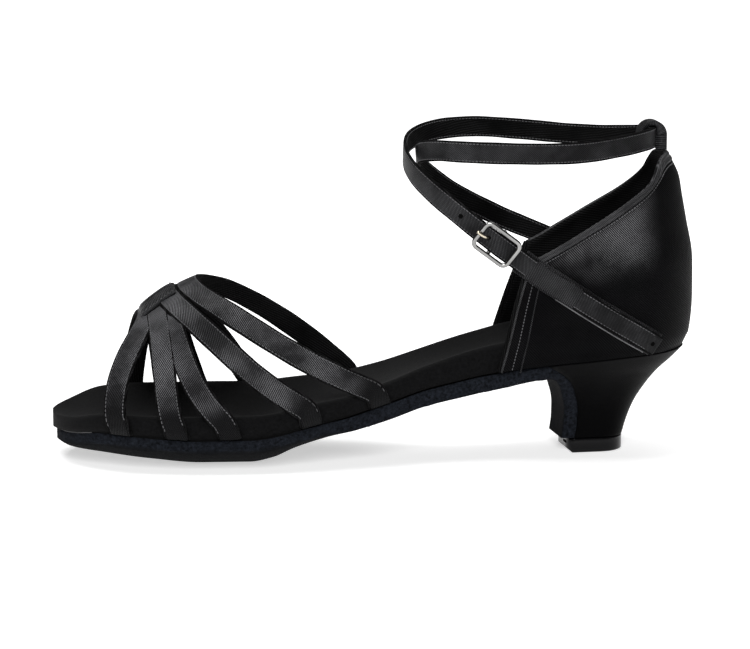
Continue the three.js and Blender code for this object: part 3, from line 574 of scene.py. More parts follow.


# Satin colours, groove then rib: the satins' light rib colours are painted sheen over the real dark weave.
STRAP_PITCH = 0.00062
GROOVE = (0.0008, 0.0008, 0.001)
strap_cloth = [twill(f"strap_satin_{n + 1}", row["ribs"], STRAP_PITCH, GROOVE, (0.20, 0.20, 0.21),
                     0.34, 0.00026, painted_shade=0.97) for n, row in enumerate(STRAPS)]
fine_satin = twill("ankle_satin", 45, 0.00052, GROOVE, (0.065, 0.065, 0.069), 0.36, 0.00012)
wrap_satin = twill("wrap_satin", 76, STRAP_PITCH, GROOVE, (0.10, 0.10, 0.105), 0.34, 0.00018)
rim_satin = twill("rim_satin", 45, 0.0005, (0.004, 0.004, 0.0045), (0.10, 0.10, 0.104), 0.36, 0.00008)
band_satin = twill("band_satin", 32, 0.00058, GROOVE, (0.055, 0.055, 0.058), 0.36, 0.00012)
counter_satin = twill("counter_satin", -42, 0.00062, (0.0012, 0.0012, 0.0014), (0.165, 0.165, 0.172), 0.50,
                      0.00020, 0.06, gloss=0.06, painted_shade=0.965, cloud=38.0)
heel_satin = twill("heel_satin", 20, 0.0004, (0.0005, 0.0005, 0.0006), (0.0035, 0.0035, 0.0038), 0.46,
                   0.00002, 0.05, 0.3, gloss=0.05)
lining = twill("lining_cloth", 8, 0.0009, (0.0015, 0.0015, 0.0015), (0.013, 0.013, 0.0135), 0.8, 0.00008,
               gloss=0.08)
footbed_suede = suede("footbed_suede", (0.001, 0.001, 0.0011), (0.0085, 0.0085, 0.009),
                      edge=((0.0006, 0.0006, 0.0007), (0.0045, 0.0045, 0.005)))
sole_suede = suede("sole_suede", (0.0006, 0.0007, 0.001), (0.004, 0.0045, 0.006),
                   edge=((0.0006, 0.0008, 0.0012), (0.014, 0.0165, 0.0225)), nap=0.0002, sheen=0.0)
tip_plastic = plain("tip_plastic", (0.0006, 0.0006, 0.0008), (0.002, 0.002, 0.0022), 0.16, Coat_Weight=0.06,
                    Coat_Roughness=0.06, Specular_IOR_Level=0.3, Specular_Tint=MUTED)
nickel = plain("nickel_plate", (0.19, 0.19, 0.187), (0.30, 0.296, 0.29), 0.10, 900.0, 0.00002, Metallic=1.0)
prong_metal = plain("prong_plate", (0.52, 0.46, 0.36), (0.70, 0.64, 0.52), 0.14, 900.0, 0.00002, Metallic=1.0)
thread_black = plain("thread_black", (0.02, 0.02, 0.021), (0.10, 0.10, 0.105), 0.45, 2400.0, 0.00005,
                     Specular_IOR_Level=0.4)
thread_pale = plain("thread_pale", (0.03, 0.03, 0.031), (0.12, 0.12, 0.125), 0.5, 2400.0, 0.00005)
pale_glue_and_glint = plain("pale_glue_and_glint", (0.02, 0.02, 0.021), (0.16, 0.16, 0.165), 0.7, 1800.0, 0.0001)
hole_dark = plain("hole_dark", (0.0003, 0.0003, 0.0003), (0.001, 0.001, 0.001), 0.9, Specular_IOR_Level=0.05)


# Footbed with its padded wall: gap under it, step inside the counter, tuck at the sole, soft top edge, crease
BED_GAP, BED_INSIDE, BED_TUCK, BED_SOFT, BED_CREASE = 0.45, 0.4, 1.3, 2.4, 0.12
BED_END, BED_STATIONS = 0.9985, 170


def footbed():
    stations = [mix(TOE, BED_END, 0.5 - 0.5 * cos(pi * t)) for t in spread(0, 1, BED_STATIONS)]
    rings, marks = [], []
    for at in stations:
        half = plan_half(at) - BED_INSIDE * smooth(at, 0.65, 0.70)
        centre = plan_centre(at)
        inset = (WALL + 2 * FIT_GAP) * max(0.0, (at - BREAST) / (1 - BREAST)) ** 2
        x = at * LAST - inset
        tuck, soft = min(BED_TUCK, half * 0.3), min(BED_SOFT, half * 0.4)
        bottom, _, thick = sole_levels(at)
        low, high = sole_line(at) + FIT_GAP, bed_edge(at)
        middle = bottom + thick + FIT_GAP + look(SOLE, "bed", at) * BED_THICK
        ring = []
        for q in spread(-1, 1, 15):
            y = q * (half - tuck)
            ring.append((y, sole_top(at, y) + BED_GAP, 1.0))
        wall = [(half - tuck * 0.3, 0.1), (half, 0.3), (half + 0.1, 0.5), (half, 0.68)]
        wall = [(w, mix(low, high, t), 1.0) for w, t in wall]
        drop = (high - low) * 0.22
        for t in (0.25, 0.5, 0.75):
            angle = t * pi / 2
            wall.append((half - soft * (1 - cos(angle)), high - drop * (1 - sin(angle)), 1 - t))
        ring += wall
        for q in spread(1, -1, 31):
            crease = BED_CREASE * exp(-((abs(q) - 0.965) / 0.012) ** 2)
            ring.append((q * (half - soft), mix(middle, high, abs(q) ** 2.2) - crease, 0.0))
        ring += mirrored(wall)
        rings.append([Vector((x, centre + y, z)) for y, z, _ in ring])
        marks += [mark for _, _, mark in ring]
    return loft_piece("footbed", rings, "insole", [footbed_suede], marks=marks)


# Suede outsole, its cut edge a little ragged, and the flap down the front of the heel
SOLE_FROM, SOLE_STATIONS, BEVEL, FRAY = 0.0075, 420, 2.2, 0.16


def outsole():
    stations = [mix(SOLE_FROM, BREAST + 0.008, t ** 1.25) for t in spread(0, 1, SOLE_STATIONS)]
    rings, marks = [], []
    rough = 0.0
    for at in stations:
        half = outsole_half(at)
        centre, (bottom, curl, thick) = plan_centre(at), sole_levels(at)
        rough = 0.6 * rough + chance.uniform(-FRAY, FRAY)
        slow = 0.36 * sin(at * 61) + 0.28 * sin(at * 137 + 1) + rough
        reach = min(BEVEL, half * 0.3)
        ring = []
        for q in spread(-1, 1, 31):
            edge = abs(q) == 1
            y = q * (half - (reach * 0.35 if edge else 0))
            ragged = slow * 0.5 if edge else 0
            ring.append((y, bottom + curl * curl_shape(q) + ragged, 0.5 if edge else 0.0))
        sides = [(half - 0.35, 0.12, 0.9), (half, 0.35, 1.0), (half + 0.05, 0.65, 1.0), (half, 0.97, 1.0)]
        wall = [(w, bottom + curl + thick * t + slow * (1 - t) ** 0.7, mark) for w, t, mark in sides]
        ring += wall
        for q in spread(0.98, -0.98, 13):
            ring.append((q * half, bottom + curl * curl_shape(q) + thick, 0.0))
        ring += mirrored(wall)
        rings.append([Vector((at * LAST, centre + y, z)) for y, z, _ in ring])
        marks += [mark for _, _, mark in ring]
    loft_piece("sole", rings, "outsole", [sole_suede], marks=marks)


def toe_seam():
    """Pale uneven glue line where the footbed meets the sole round the toe."""
    line = []
    for q in spread(-1, 1, 120):
        at = mix(0.004, 0.06, abs(q) ** 2)
        side = -1 if q < 0 else 1
        half = outsole_half(at) * (1 if abs(q) > 0.12 else abs(q) / 0.12)
        line.append(Vector((at * LAST, plan_centre(at) + side * (half - 0.25),
                            sole_line(at) + 0.1 + chance.uniform(-0.08, 0.08))))
    tube("toe_seam", line, 0.15, "outsole", pale_glue_and_glint, 6)


def swing(p, amount):
    middle = TIP_FRONT + TIP_LENGTH / 2
    c, s = cos(SWING * amount), sin(SWING * amount)
    return Vector((middle + (p[0] - middle) * c - p[1] * s, (p[0] - middle) * s + p[1] * c, p[2]))


BLOCK_LOW = TIP_HEIGHT + FIT_GAP


def heel_front(up):
    return mix(TIP_FRONT, BREAST * LAST, look(HEEL, "breast", up))


def flap():
    rings, marks = [], []
    for up in spread(0, 1, 60):
        side = look(HEEL, "side", up)
        z = mix(BLOCK_LOW, sole_line(BREAST), up)
        x = heel_front(up) - FLAP_GAP
        half = mix(TIP_WIDTH / 2, plan_half(BREAST) + SOLE_MARGIN, side)
        centre = plan_centre(BREAST) * side
        high = smooth(up, 0.74, 0.92)
        lead = FLAP_THICK * mix(1, 1.85, high)
        low = min(z, mix(z, sole_levels(BREAST)[0], max(0.0, up - 0.8) * 2))
        ragged = chance.uniform(-0.1, 0.1)
        wall = [(half + ragged, 0.35, 1.0), (half + ragged, 0.7, 1.0), (half - 0.5, 0.97, 0.8)]
        outline = [(-half, 0.0, 1.0), (half, 0.0, 1.0)] + wall
        outline += [(q * (half - 1.0), 1.0, 0.0) for q in spread(1, -1, 9)] + mirrored(wall)
        rings.append([swing((x - lead * t, centre + y, mix(z, low, t)), 1 - up) for y, t, _ in outline])
        marks += [mark for _, _, mark in outline]
    loft_piece("sole_flap", rings, "outsole", [sole_suede], marks=marks)


def tip_half(share):
    return TIP_WIDTH / 2 * (1 if share < 0.5 else sqrt(max(0.0, 1 - ((share - 0.5) / 0.5) ** 2.4)))


def d_shape(columns=26):
    return [sin(pi / 2 * k / columns) * 0.999 for k in range(columns + 1)]


def d_ring(point):
    """Closed ring of a D: one half forwards and the other back, from point(share, side)."""
    halves = [[point(share, side) for share in d_shape()] for side in (-1, 1)]
    return halves[0] + halves[1][::-1]


def heel_block():
    rings, uvs = [], []
    for up in spread(0, 1, 54):
        back, side = look(HEEL, "back", up), look(HEEL, "side", up)
        front, rear = heel_front(up), mix(TIP_FRONT + TIP_LENGTH, LAST, back)

        def wall_point(share, sign):
            at = min(mix(BREAST, 1, share), 0.9995)
            seat = (plan_half(at) + WALL * 0.8) * sign + plan_centre(at)
            z = mix(BLOCK_LOW, sole_line(at), up)
            y = mix(tip_half(share) * sign, seat, side)
            return swing((mix(front, rear, share), y, z), 1 - up)

        ring = d_ring(wall_point)
        rings.append(ring)
        uvs += [(atan2(p.y, p.x - TIP_FRONT) * TIP_LENGTH, p.z) for p in ring]
    loft_piece("heel_cover", rings, "heel", [heel_satin], uvs)


def heel_top_piece():
    rings = []
    profile = ((0, 0.7), (0.12, 0.4), (0.4, 0.08), (0.8, 0), (3.0, 0), (5.1, 0), (5.4, 0.08), (5.5, 0.3))
    for z, inset in profile:
        front, rear = TIP_FRONT - TIP_LEAD + inset, TIP_FRONT + TIP_LENGTH - inset
        rings.append(d_ring(lambda share, sign: swing(
            (mix(front, rear, share), (tip_half(share) - inset) * sign, z), 1)))
    loft_piece("heel_top_piece", rings, "heel_tip", [tip_plastic])


def tip_slot():
    x, middle, width, tall = TIP_FRONT - TIP_LEAD, 2.7, 4.6, 0.5
    over = [(-1, 0), (-0.9, 0.8), (0, 1), (0.9, 0.8)]
    outline = over + [(-w, -h) for w, h in over]
    rings = [[swing((x - 0.08 + depth, w * width / 2, middle + h * tall), 1) for w, h in outline]
             for depth in (0.25, -0.12)]
    loft_piece("tip_slot", rings, "heel_tip", [hole_dark])


# Five crossed straps and the wrap that gathers them
def strap_surface(side, at, level):
    half, centre, x = plan_half(at), plan_centre(at), at * LAST
    if level < 0:
        t = 1 + level
        tuck = 1.3 * max(0.0, 1 - t / 0.35)
        return Vector((x, centre + side * (half - tuck), mix(sole_line(at) + FIT_GAP, bed_edge(at), t)))
    angle = level * pi / 2
    ridge = look(RIDGE, "ridge", at) * KNOT
    y = centre + side * half * max(cos(angle), 0.0) ** 0.80
    return Vector((x, y, mix(bed_edge(at), ridge, sin(angle) ** 0.90)))


SOFTENING = 110  # passes that round a strap's bend over the footbed's edge
SHADOW_TUBE, HEM_SHADOW = 0.45, 0.5  # radii of the dark tubes painted as shadow in the hollows between straps and under the wrap's hems


def strap_run(row, steps=150):
    points, normals, step = [], [], 1e-3
    for i in range(-steps, steps + 1):
        side, column = (-1, 0) if i < 0 else (1, 1)
        level = 1 - 2 * abs(i) / steps
        at = row["edge"][column] - level * row["foot"][column]
        if level >= 0:
            rise = sin(level * pi / 2) ** 0.90
            at = mix(row["edge"][column], row["apex"], rise ** row["bow"][column])
        top = min(level + step, 1)
        up = strap_surface(side, at, top) - strap_surface(side, at, top - 2 * step)
        along = strap_surface(side, at + step, level) - strap_surface(side, at - step, level)
        normal = up.cross(along).normalized() * side if i else Vector((-along.z, 0, along.x)).normalized()
        lift = row["layer"] * STRAP_THICK * max(0.0, level) ** 6
        lift += row["rise"] * max(0.0, level) ** 2.5 * (1 - smooth(level, 0.86, 0.97))
        points.append(strap_surface(side, at, level) + normal * (STRAP_GAP + STRAP_THICK / 2 + lift))
        normals.append(normal)
    for _ in range(SOFTENING):
        for line in (points, normals):
            line[1:-1] = [a * 0.25 + b * 0.5 + c * 0.25 for a, b, c in zip(line, line[1:], line[2:])]
    return Run(points, [n.normalized() for n in normals])


def straps():
    for n, row in enumerate(STRAPS):
        run = strap_run(row)
        name = f"strap_{n + 1}"
        # ends gives the spans at both ends that get painted shade.
        cloth_piece(name, run, STRAP_WIDTH, STRAP_THICK, "vamp_straps",
                    [strap_cloth[n], lining], above_sole, wave=0.07, inner=True, ends=(9, 19))
        edge, total, foot = seam_place(STRAP_WIDTH), run.length[-1], 5.5
        rows = []
        for across in (-edge, edge):
            rows += stitches(run, across, STRAP_THICK / 2 - 0.18, foot, total - foot)
        thread_piece(name + "_stitches", rows, "vamp_straps", thread_black)


def strap_shadow_tubes():
    """Dark tubes as painted shadow in the hollows beside the straps' upper ends, each from one length off the
    knot to another.
    """
    for n, word, first, last in ((3, "middle", 25.0, 9.0), (4, "rear", 24.0, 8.0), (2, "front", 22.0, 10.0)):
        run = strap_run(STRAPS[n])
        knot = run.length[len(run.points) // 2]
        line = [run.place(knot - s, -STRAP_WIDTH / 2 - 0.05, -0.25) for s in spread(first, last, 24)]
        tube(f"fold_{word}", line, SHADOW_TUBE, "vamp_straps", hole_dark, 8)


def wrap_frame(p):
    c, s = cos(WRAP["slope"]), sin(WRAP["slope"])
    p = (p[0], p[1], p[2] + 0.5 - 0.014 * p[1] ** 2)
    return Vector((p[0] * c - p[2] * s + WRAP["at"] * LAST, p[1] + plan_centre(WRAP["at"]),
                   p[0] * s + p[2] * c + WRAP["up"] * KNOT))


def knot_wrap():
    long, high, wide = WRAP["length"] / 2, WRAP["height"] / 2, WRAP["width"] / 2
    rings, uvs = [], []
    for q in spread(-1, 1, 41):
        closing = (1 - abs(q) ** 12) ** (1 / 6)
        tall = mix(high, 1.0, abs(q) ** 1.5)  # thins towards its edges
        pleat = 0.16 * sin(q * 9.0) + 0.10 * sin(q * 17 + 1)
        ring, around = [], 0.0
        for c, s in circle(56):
            x = copysign(abs(c) ** 0.7, c) * (long + pleat * 0.5)
            z = copysign(abs(s) ** 0.72, s) * (tall + pleat * (0.4 + 0.6 * abs(s)))
            shrink = mix(0.6, 1, closing)
            p = wrap_frame((x * mix(0.94, 1, closing), q * wide, high - tall + z * shrink))
            around += (p - ring[-1]).length if ring else 0.0
            ring.append(p)
            uvs.append((around, q * wide))
        rings.append(ring)
    loft_piece("knot_wrap", rings, "vamp_straps", [wrap_satin], uvs)
    rows = []
    for side in (-1, 1):
        for t in spread(-0.82, 0.82, 9):
            line = [wrap_frame((t * long + d, side * (wide - 0.9), high * 0.97)) for d in (0, 0.4, 0.8)]
            rows.append((line, Vector((0, 0, 1))))
    # Dark tubes along both edges of the wrap: painted shadow under its hems.
    for side, word in SIDES:
        hem = [wrap_frame((t * long, side * (wide + 0.05), high - 1.6)) for t in spread(-0.9, 0.9, 20)]
        tube(f"knot_hem_shadow_{word}", hem, HEM_SHADOW, "vamp_straps", hole_dark, 8)
    thread_piece("knot_stitches", rows, "vamp_straps", thread_pale, 0.16)


# Heel counter
def seat_place(side, back):
    front = look(COUNTER, "lateral" if side < 0 else "medial", 0)
    return mix(front, 1, min(back, 0.9995))


def counter_point(side, back, up):
    front = look(COUNTER, "lateral" if side < 0 else "medial", up)
    seat_at = seat_place(side, back)
    half = (plan_half(seat_at) + (FIT_GAP + WALL) * round_end(1 - seat_at + 0.004, HEEL_ROUND))
    x = mix(front, 1 + look(COUNTER, "back", up), back) * LAST
    return Vector((x, plan_centre(seat_at) + side * half * look(COUNTER, "side", up), SEAT + up * COLLAR))


def counter_normal(side, back, up):
    step = 2e-3
    rise = counter_point(side, back, up + step) - counter_point(side, back, up - step)
    start = min(back, 1 - 2 * step)
    run = counter_point(side, start + step, up) - counter_point(side, start - step, up)
    normal = (run.cross(rise) * -side).normalized()
    return Vector((1, 0, normal.z)).normalized() if back >= 1 - step else normal


def top_of(side, back):
    return look(TOPLINE, "lateral" if side < 0 else "medial", back)


def counter_low(side, back):
    return (sole_line(seat_place(side, back)) + FIT_GAP - SEAT) / COLLAR


def counter_off(side, back, up, lift):
    return counter_point(side, back, up) + counter_normal(side, back, up) * lift


def counter_shell():
    """Outer satin, double-ridged binding, and lining, in one closed form."""
    columns = 84
    binding = [(0, 0.0), (0.03, 0.30), (0.16, 0.42), (0.32, 0.40), (0.42, 0.14), (0.48, 0.10), (0.56, 0.34),
               (0.70, 0.52), (0.86, 0.46), (0.97, 0.10), (1.0, -0.55), (0.98, -1.2), (0.88, -1.85),
               (0.62, -2.25), (0.3, -2.35), (0.05, -2.25)]
    rings, uvs, marks = [], [], []
    outer_rows, inner_rows = 30, 16
    for k in range(-columns, columns + 1):
        side = -1 if k < 0 else 1
        back = cos(pi / 2 * abs(k) / columns)
        top, low = top_of(side, back), counter_low(side, back)
        bind = top - BINDING / COLLAR
        rows = [(mix(low, bind, v), 0.10 * sin(pi * v)) for v in spread(0, 1, outer_rows)]
        rows += [(mix(bind, top, v), lift) for v, lift in binding]
        rows += [(mix(bind, low, v), -WALL) for v in spread(0, 1, inner_rows)]
        ring = []
        for up, lift in rows:
            ring.append(counter_off(side, back, up, lift))
            uvs.append((side * (1 - back) * 62, up * COLLAR))
            # Painted highlight on the upper middle of each side; elsewhere the counter's ribs get painted
            # shade through the marks.
            painted_highlight = smooth(up, 0.30 + 0.10 * back, 0.52 + 0.10 * back) * (1 - smooth(back, 0.56, 0.78))
            marks.append(1 - painted_highlight * smooth(top - up, 0.03, 0.09))
        rings.append(ring)
    turned = 5  # rows of the binding that already lie on the lining
    pick = [0] * outer_rows + [1] * (len(binding) - turned) + [2] * (inner_rows + turned)
    loft_piece("counter_shell", rings, "counter", [counter_satin, rim_satin, lining],
               uvs, pick, marks)


def counter_line(side, path, lift):
    points = [counter_off(side, back, up, lift) for back, up in path]
    return Run(points, [counter_normal(side, back, up) for back, up in path])


def tube(name, line, radius, node, material, sides=10):
    rings, uvs, around = [], [], 2 * pi * radius
    run = Run(line, [Vector((0.3, -1, 0.2))] * len(line))
    for i, p in enumerate(run.points):
        rings.append([p + (run.wide[i] * c + run.normals[i] * s) * radius for c, s in circle(sides)])
        uvs += [(run.length[i], around * k / sides) for k in range(sides)]
    loft_piece(name, rings, node, [material], uvs)


ROLL, RIM, FOLD = 1.15, 0.42, 0.3  # radii of the lining's roll, the rim and the fold by the front edge
FRONT_SEAM, FRONT_FOLD, SEAM_PITCH = 0.055, 0.10, 1.2


def counter_trim():
    rows = []
    for side, word in SIDES:
        low, top = counter_low(side, 0), top_of(side, 0)
        roll = [counter_off(side, 0, up, -WALL * 0.5) + Vector((-0.3, 0, 0))
                for up in spread(low, top - 0.006, 60)]
        tube(f"front_roll_{word}", roll, ROLL, "counter", lining)
        rim = [counter_off(side, 0.004, up, 0.12) for up in spread(low, top - 0.02, 60)]
        tube(f"front_rim_{word}", rim, RIM, "counter", rim_satin)
        for inset in (FRONT_SEAM, FRONT_FOLD):
            high = top_of(side, inset) - 0.05
            path = [(inset * mix(1, 0.8, t), mix(low, high, t)) for t in spread(0, 1, 60)]
            run = counter_line(side, path, 0.1)
            if inset == FRONT_FOLD:
                tube(f"front_fold_{word}", run.points, FOLD, "counter", fine_satin)
            else:
                rows += stitches(run, 0, 0, 1.0, run.length[-1] - 0.5, SEAM_PITCH)
        seam = (BINDING + 0.9) / COLLAR
        under = [(back, top_of(side, back) - seam) for back in spread(0.06, 0.985, 160)]
        run = counter_line(side, under, 0.1)
        rows += stitches(run, 0, 0, 1.0, run.length[-1] - 1.0, SEAM_PITCH)
    thread_piece("counter_stitches", rows, "counter", thread_black)


def pull_loop():
    back = counter_point(1, 1, 1)
    radius, rise = LOOP_DEPTH / 2, LOOP_HEIGHT - LOOP_DEPTH / 2
    outer = [(radius, t * rise) for t in spread(0, 0.95, 8)]
    outer += [(radius * cos(a), rise + radius * sin(a)) for a in spread(0, pi, 24)]
    outer += [(-radius, t * rise) for t in spread(0.95, 0, 8)]
    section = [(-1, -1), (-1, -0.1), (-0.94, 0), (0, 0.05), (0.94, 0), (1, -0.1), (1, -1), (0.5, -1), (0, -1),
               (-0.5, -1)]
    rings, uvs, length = [], [], 0.0
    for i, (a, b) in enumerate(outer):
        centre = Vector((0, rise * 0.9))
        inward = (centre - Vector((a, max(b, 0)))) if b > rise else Vector((-a, 0))
        inward = inward.normalized()
        length += (Vector(outer[i]) - Vector(outer[max(i - 1, 0)])).length
        rear = smooth(a, 0.2 * radius, 0.9 * radius)
        ring = []
        for w, n in section:
            thick = mix(LOOP_THICK, LOOP_BACK + 1.4 * w * w, rear)
            depth = 0.0 if n == 0.05 else -n * thick
            q = Vector((a, b)) + inward * depth
            ring.append(Vector((back.x - radius + q.x, w * LOOP_WIDTH / 2, back.z + FIT_GAP + q.y)))
            uvs.append((length, w * LOOP_WIDTH / 2))
        rings.append(ring)
    loft_piece("pull_loop", rings, "back_loop", [fine_satin], uvs)


# Ankle strap, band on the quarter and buckle
def carrier_run(layer, steps, first=BAND[0]["back"], last=BAND[-1]["back"]):
    points, normals = [], []
    for back in spread(first, last, steps + 1):
        up = look(BAND, "up", back)
        normal = counter_normal(-1, max(back, 0.01), up)
        over_binding = 0.45 * max(0.0, 1 - back / 0.14)
        points.append(counter_point(-1, back, up) + normal * (layer + over_binding))
        normals.append(normal)
    return points, normals


def spline(points, power, per_span):
    """Catmull-Rom line through the points; power 0.25 is centripetal and 0 is uniform."""
    ends = [points[0] * 2 - points[1]] + points + [points[-1] * 2 - points[-2]]
    line = []
    for i in range(len(points) - 1):
        p0, p1, p2, p3 = ends[i:i + 4]
        if power:
            d0, d1, d2 = ((b - a).length_squared ** power for a, b in ((p0, p1), (p1, p2), (p2, p3)))
            t1 = ((p1 - p0) / d0 - (p2 - p0) / (d0 + d1) + (p2 - p1) / d1) * d1
            t2 = ((p2 - p1) / d1 - (p3 - p1) / (d1 + d2) + (p3 - p2) / d2) * d1
        else:
            t1, t2 = (p2 - p0) * 0.5, (p3 - p1) * 0.5
        for k in range(per_span + (i == len(points) - 2)):
            t = k / per_span
            line.append(p1 * (2 * t**3 - 3 * t**2 + 1) + t1 * (t**3 - 2 * t**2 + t)
                        + p2 * (3 * t**2 - 2 * t**3) + t2 * (t**3 - t**2))
    return line


CARRIER_LAYER = FIT_GAP + BAND_THICK / 2
TAIL_LAYER = FIT_GAP + BAND_THICK + BAND_GAP + ANKLE_THICK / 2
GLINT_RADIUS, KEEPER_THICK = 0.26, 0.9


def ankle_run():
    ring = [Vector((a * LAST, c * HALF_BALL, u * (SEAT + COLLAR))) for a, c, u in ANKLE]
    outwards = [Vector(((p.x - ANKLE_AXIS * LAST) * ANKLE_OVAL, p.y, 0)).normalized() for p in ring]
    tail, tail_normals = carrier_run(TAIL_LAYER, 7)
    sewn_normals = [counter_normal(1, back, up) for back, up in SEWN]
    sewn = [counter_point(1, back, up) + normal * (BAND_GAP + 0.45 + ANKLE_THICK * 0.6)
            for (back, up), normal in zip(SEWN, sewn_normals)]
    points = spline(sewn + ring + tail[1:], 0.25, 14)
    normals = spline(sewn_normals + outwards + tail_normals[1:], 0, 14)
    return Run(points, [n.normalized() for n in normals])


def buckle_index(run):
    start = len(run.points) // 2
    return next(i for i in range(start, len(run.points))
                if run.points[i].y < -HALF_BALL * 0.8 and run.points[i].x > BUCKLE_ALONG * LAST)


def ankle_strap(run, fastened):
    total = run.length[-1]
    cloth_piece("ankle_strap_cloth", run, ANKLE_WIDTH, ANKLE_THICK, "ankle_strap",
                [fine_satin, lining], above_sole, wave=0.04, inner=True, groove=0.18)
    edge, rows = seam_place(ANKLE_WIDTH), []
    for across in (-edge, edge):
        for out in (ANKLE_THICK / 2 - 0.2, -ANKLE_THICK / 2 - 0.02):
            rows += stitches(run, across, out, 2.0, total - 3.0, 1.3)
    thread_piece("ankle_strap_stitches", rows, "ankle_strap", thread_black, 0.17)
    holes = [fastened + PRONG_HOLE + HOLE_PITCH * n for n in HOLES]
    points, faces, corners = [], [], 14
    for s in holes:
        for out in (ANKLE_THICK / 2 + 0.02, -ANKLE_THICK / 2 - 0.02):
            start = len(points)
            points += [run.place(s + HOLE_RADIUS * a, HOLE_RADIUS * b, out) for a, b in circle(corners)]
            points.append(run.place(s, 0, out - copysign(0.01, out)))
            faces += [(start + k, start + (k + 1) % corners, start + corners) for k in range(corners)]
    add_piece("strap_holes", points, faces, "ankle_strap", [hole_dark])


def quarter_band():
    run = Run(*carrier_run(CARRIER_LAYER, 140))
    cloth_piece("band", run, BAND_WIDTH, BAND_THICK, "quarter_band", [band_satin],
                above_sole, wave=0.03)
    half, total = BAND_WIDTH / 2, run.length[-1]
    low = half if run.wide[60].z < 0 else -half
    rows = stitches(run, -low * 0.80, BAND_THICK / 2 - 0.05, 6, total - 4, 1.5)
    thread_piece("band_stitches", rows, "quarter_band", thread_pale, 0.14)
    # Pale tube along the band's lower edge from a third of the way on: a painted glint.
    glint_line = [run.place(s, low, BAND_THICK / 2 - 0.35 + chance.uniform(-0.08, 0.08))
           for s in spread(total * 0.30, total - 3, 150)]
    tube("band_painted_glint", glint_line, GLINT_RADIUS, "quarter_band", pale_glue_and_glint, 6)
    top = Run(*carrier_run(TAIL_LAYER + ANKLE_THICK / 2 + 0.55, 60, -0.02, 0.30))
    cloth_piece("tail_keeper", top, ANKLE_WIDTH - 0.2, KEEPER_THICK, "ankle_strap", [band_satin],
                wave=0.02, groove=0.1)


def buckle(run, i):
    along, normal = run.along[i], run.normals[i]
    wide = normal.cross(along).normalized()
    middle = run.points[i]

    def fit(p):
        return middle + along * p[0] + wide * p[1] + normal * p[2]

    level = ANKLE_THICK / 2 + FIT_GAP + BUCKLE_BAR / 2
    thick = BUCKLE_BAR / 2
    l, w, r = BUCKLE_LENGTH / 2 - thick, BUCKLE_WIDTH / 2 - thick, BUCKLE_ROUND - thick * 0.6
    outline = []
    for cx, cy, a in ((l - r, w - r, 0), (-l + r, w - r, 90), (-l + r, -w + r, 180), (l - r, -w + r, 270)):
        for t in spread(0, 90, 8):
            turn = radians(a + t)
            outline.append((cx + r * cos(turn), cy + r * sin(turn)))
    points, faces, sides, square = [], [], 16, 0.62
    for j, (a, b) in enumerate(outline):
        before, after = outline[j - 1], outline[(j + 1) % len(outline)]
        tangent = Vector((after[0] - before[0], after[1] - before[1])).normalized()
        out = Vector((tangent.y, -tangent.x))
        for c, s in circle(sides, 0.5):
            n = copysign(abs(c) ** square, c) * thick
            m = copysign(abs(s) ** square, s) * thick
            points.append(fit((a + out.x * n, b + out.y * n, level + m)))
    count = len(outline)
    for j in range(count):
        for k in range(sides):
            a, b = j * sides + k, j * sides + (k + 1) % sides
            c = (j + 1) % count * sides
            faces.append((a, b, c + (k + 1) % sides, c + k))

    def rod(line, radius, sides=12):
        start = len(points)
        for j, p in enumerate(line):
            direction = (Vector(line[min(j + 1, len(line) - 1)]) - Vector(line[max(j - 1, 0)])).normalized()
            first = direction.cross(Vector((0.9, 0.1, 0.4))).normalized()
            second = direction.cross(first)
            points.extend(fit(Vector(p) + (first * c + second * s) * radius) for c, s in circle(sides))
        faces.extend(ring_faces(len(line), sides, start))

    reach = BUCKLE_WIDTH / 2 - thick
    bend = [(0, -reach, level), (0, -reach, 0), (0, -reach + 0.2, -level + 0.4), (0, -reach + 0.7, -level)]
    rod(bend + [(0, y, -level) for y in spread(-reach + 1.2, reach - 1.2, 8)]
        + [(p[0], -p[1], p[2]) for p in reversed(bend)], thick * 0.95)
    add_piece("buckle_rim", points, faces, "buckle_frame", [nickel])

    t = PRONG_THICK / 2
    rise, tip = level + thick + FIT_GAP + t, -BUCKLE_LENGTH / 2 - t
    path = [(-thick - FIT_GAP - t, 0, -level), (PRONG_HOLE + t, 0, -level), (PRONG_HOLE, 0, 0),
            (PRONG_HOLE - t, 0, level), (mix(PRONG_HOLE, tip, 0.5), 0, rise), (tip, 0, rise)]
    line = spline([Vector(p) for p in path], 0.25, 8)
    points, faces = [], []
    rod([tuple(p) for p in line], t)
    add_piece("buckle_pin", points, faces, "buckle_prong", [prong_metal])


footbed()
outsole()
toe_seam()
flap()
heel_block()
heel_top_piece()
tip_slot()
straps()
knot_wrap()
strap_shadow_tubes()
counter_shell()
counter_trim()
pull_loop()
ankle = ankle_run()
at_buckle = buckle_index(ankle)
ankle_strap(ankle, ankle.length[at_buckle])
quarter_band()
buckle(ankle, at_buckle)

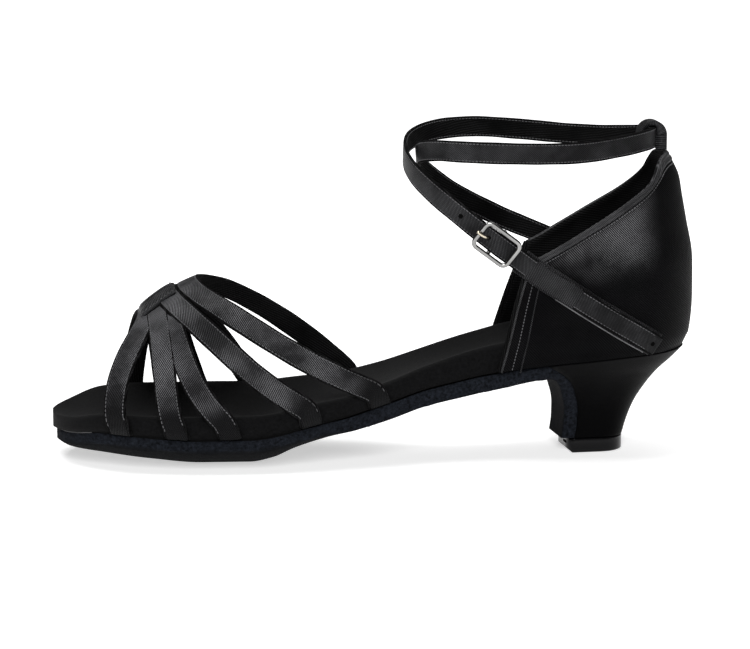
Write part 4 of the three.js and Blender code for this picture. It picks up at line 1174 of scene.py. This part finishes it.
# Floor, light and camera
floor_mesh = bpy.data.meshes.new("studio_floor")
reach = 6.0
floor_mesh.from_pydata([(-reach, -reach, 0), (reach, -reach, 0), (reach, reach, 0), (-reach, reach, 0)], [],
                       [(0, 1, 2, 3)])
floor = into_scene("studio_floor", floor_mesh)
sheet = Maker("floor_paper")
away = sheet.node("ShaderNodeVectorMath", dict(operation="LENGTH"), i0=sheet.where).outputs["Value"]
paper_grain = sheet.bump(sheet.noise(900.0), 0.00001, 0.2)
# The floor glows less near its middle: a painted shadow round the shoe, full white again from WHITE_FROM out.
SHADE_END, WHITE_FROM, SHADED_GLOW = 0.16, 0.55, 0.55
sheet.put(sheet.shader, "Emission Strength", sheet.ramp(away, SHADE_END, WHITE_FROM, SHADED_GLOW))
floor_mesh.materials.append(sheet.finish((0.8, 0.8, 0.8, 1), 0.9, paper_grain, Emission_Color=(1, 1, 1, 1)))

world = bpy.data.worlds.new("studio")
bpy.context.scene.world = world
world.use_nodes = True
tree = world.node_tree
tree.nodes.clear()
rays = tree.nodes.new("ShaderNodeLightPath")
choose = tree.nodes.new("ShaderNodeMixShader")
output = tree.nodes.new("ShaderNodeOutputWorld")
tree.links.new(rays.outputs["Is Camera Ray"], choose.inputs[0])
tree.links.new(choose.outputs[0], output.inputs[0])
ROOM_LIGHT, WHITE_SEEN = 0.10, 1.0
for socket, strength in ((1, ROOM_LIGHT), (2, WHITE_SEEN)):
    light = tree.nodes.new("ShaderNodeBackground")
    light.inputs[0].default_value = (1, 1, 1, 1)
    light.inputs[1].default_value = strength
    tree.links.new(light.outputs[0], choose.inputs[socket])

AIM = Vector(metres((120.77, 0, 48.4)))
FOCAL_PIXELS, PICTURE_WIDTH = 3207.47, 750


def lamp(name, where, size, power):
    data = bpy.data.lights.new(name, "AREA")
    data.shape, data.size, data.energy = "SQUARE", size, power
    made = into_scene(name, data)
    made.location = AIM + Vector(where)
    made.rotation_euler = (-Vector(where)).to_track_quat("-Z", "Y").to_euler()


lamp("key", (-0.30, 0.05, 1.15), 0.8, 11.0)
lamp("front", (-0.10, -1.15, 0.56), 0.45, 12.0)
lamp("rear", (0.35, 0.5, 1.0), 0.8, 4.0)

azimuth, elevation, distance = radians(-6), radians(9.5), 1.2
back = Vector((sin(azimuth) * cos(elevation), -cos(azimuth) * cos(elevation),
               sin(elevation)))
right = Vector((cos(azimuth), sin(azimuth), 0))
above = back.cross(right)
data = bpy.data.cameras.new("photo_camera")
data.sensor_width = 36.0
data.lens = FOCAL_PIXELS / PICTURE_WIDTH * data.sensor_width
camera = into_scene("photo_camera", data)
turned = Matrix((right, above, back)).transposed().to_4x4()
camera.matrix_world = Matrix.Translation(AIM + back * distance) @ turned
bpy.context.scene.camera = camera
bpy.context.scene.view_settings.view_transform = "Standard"
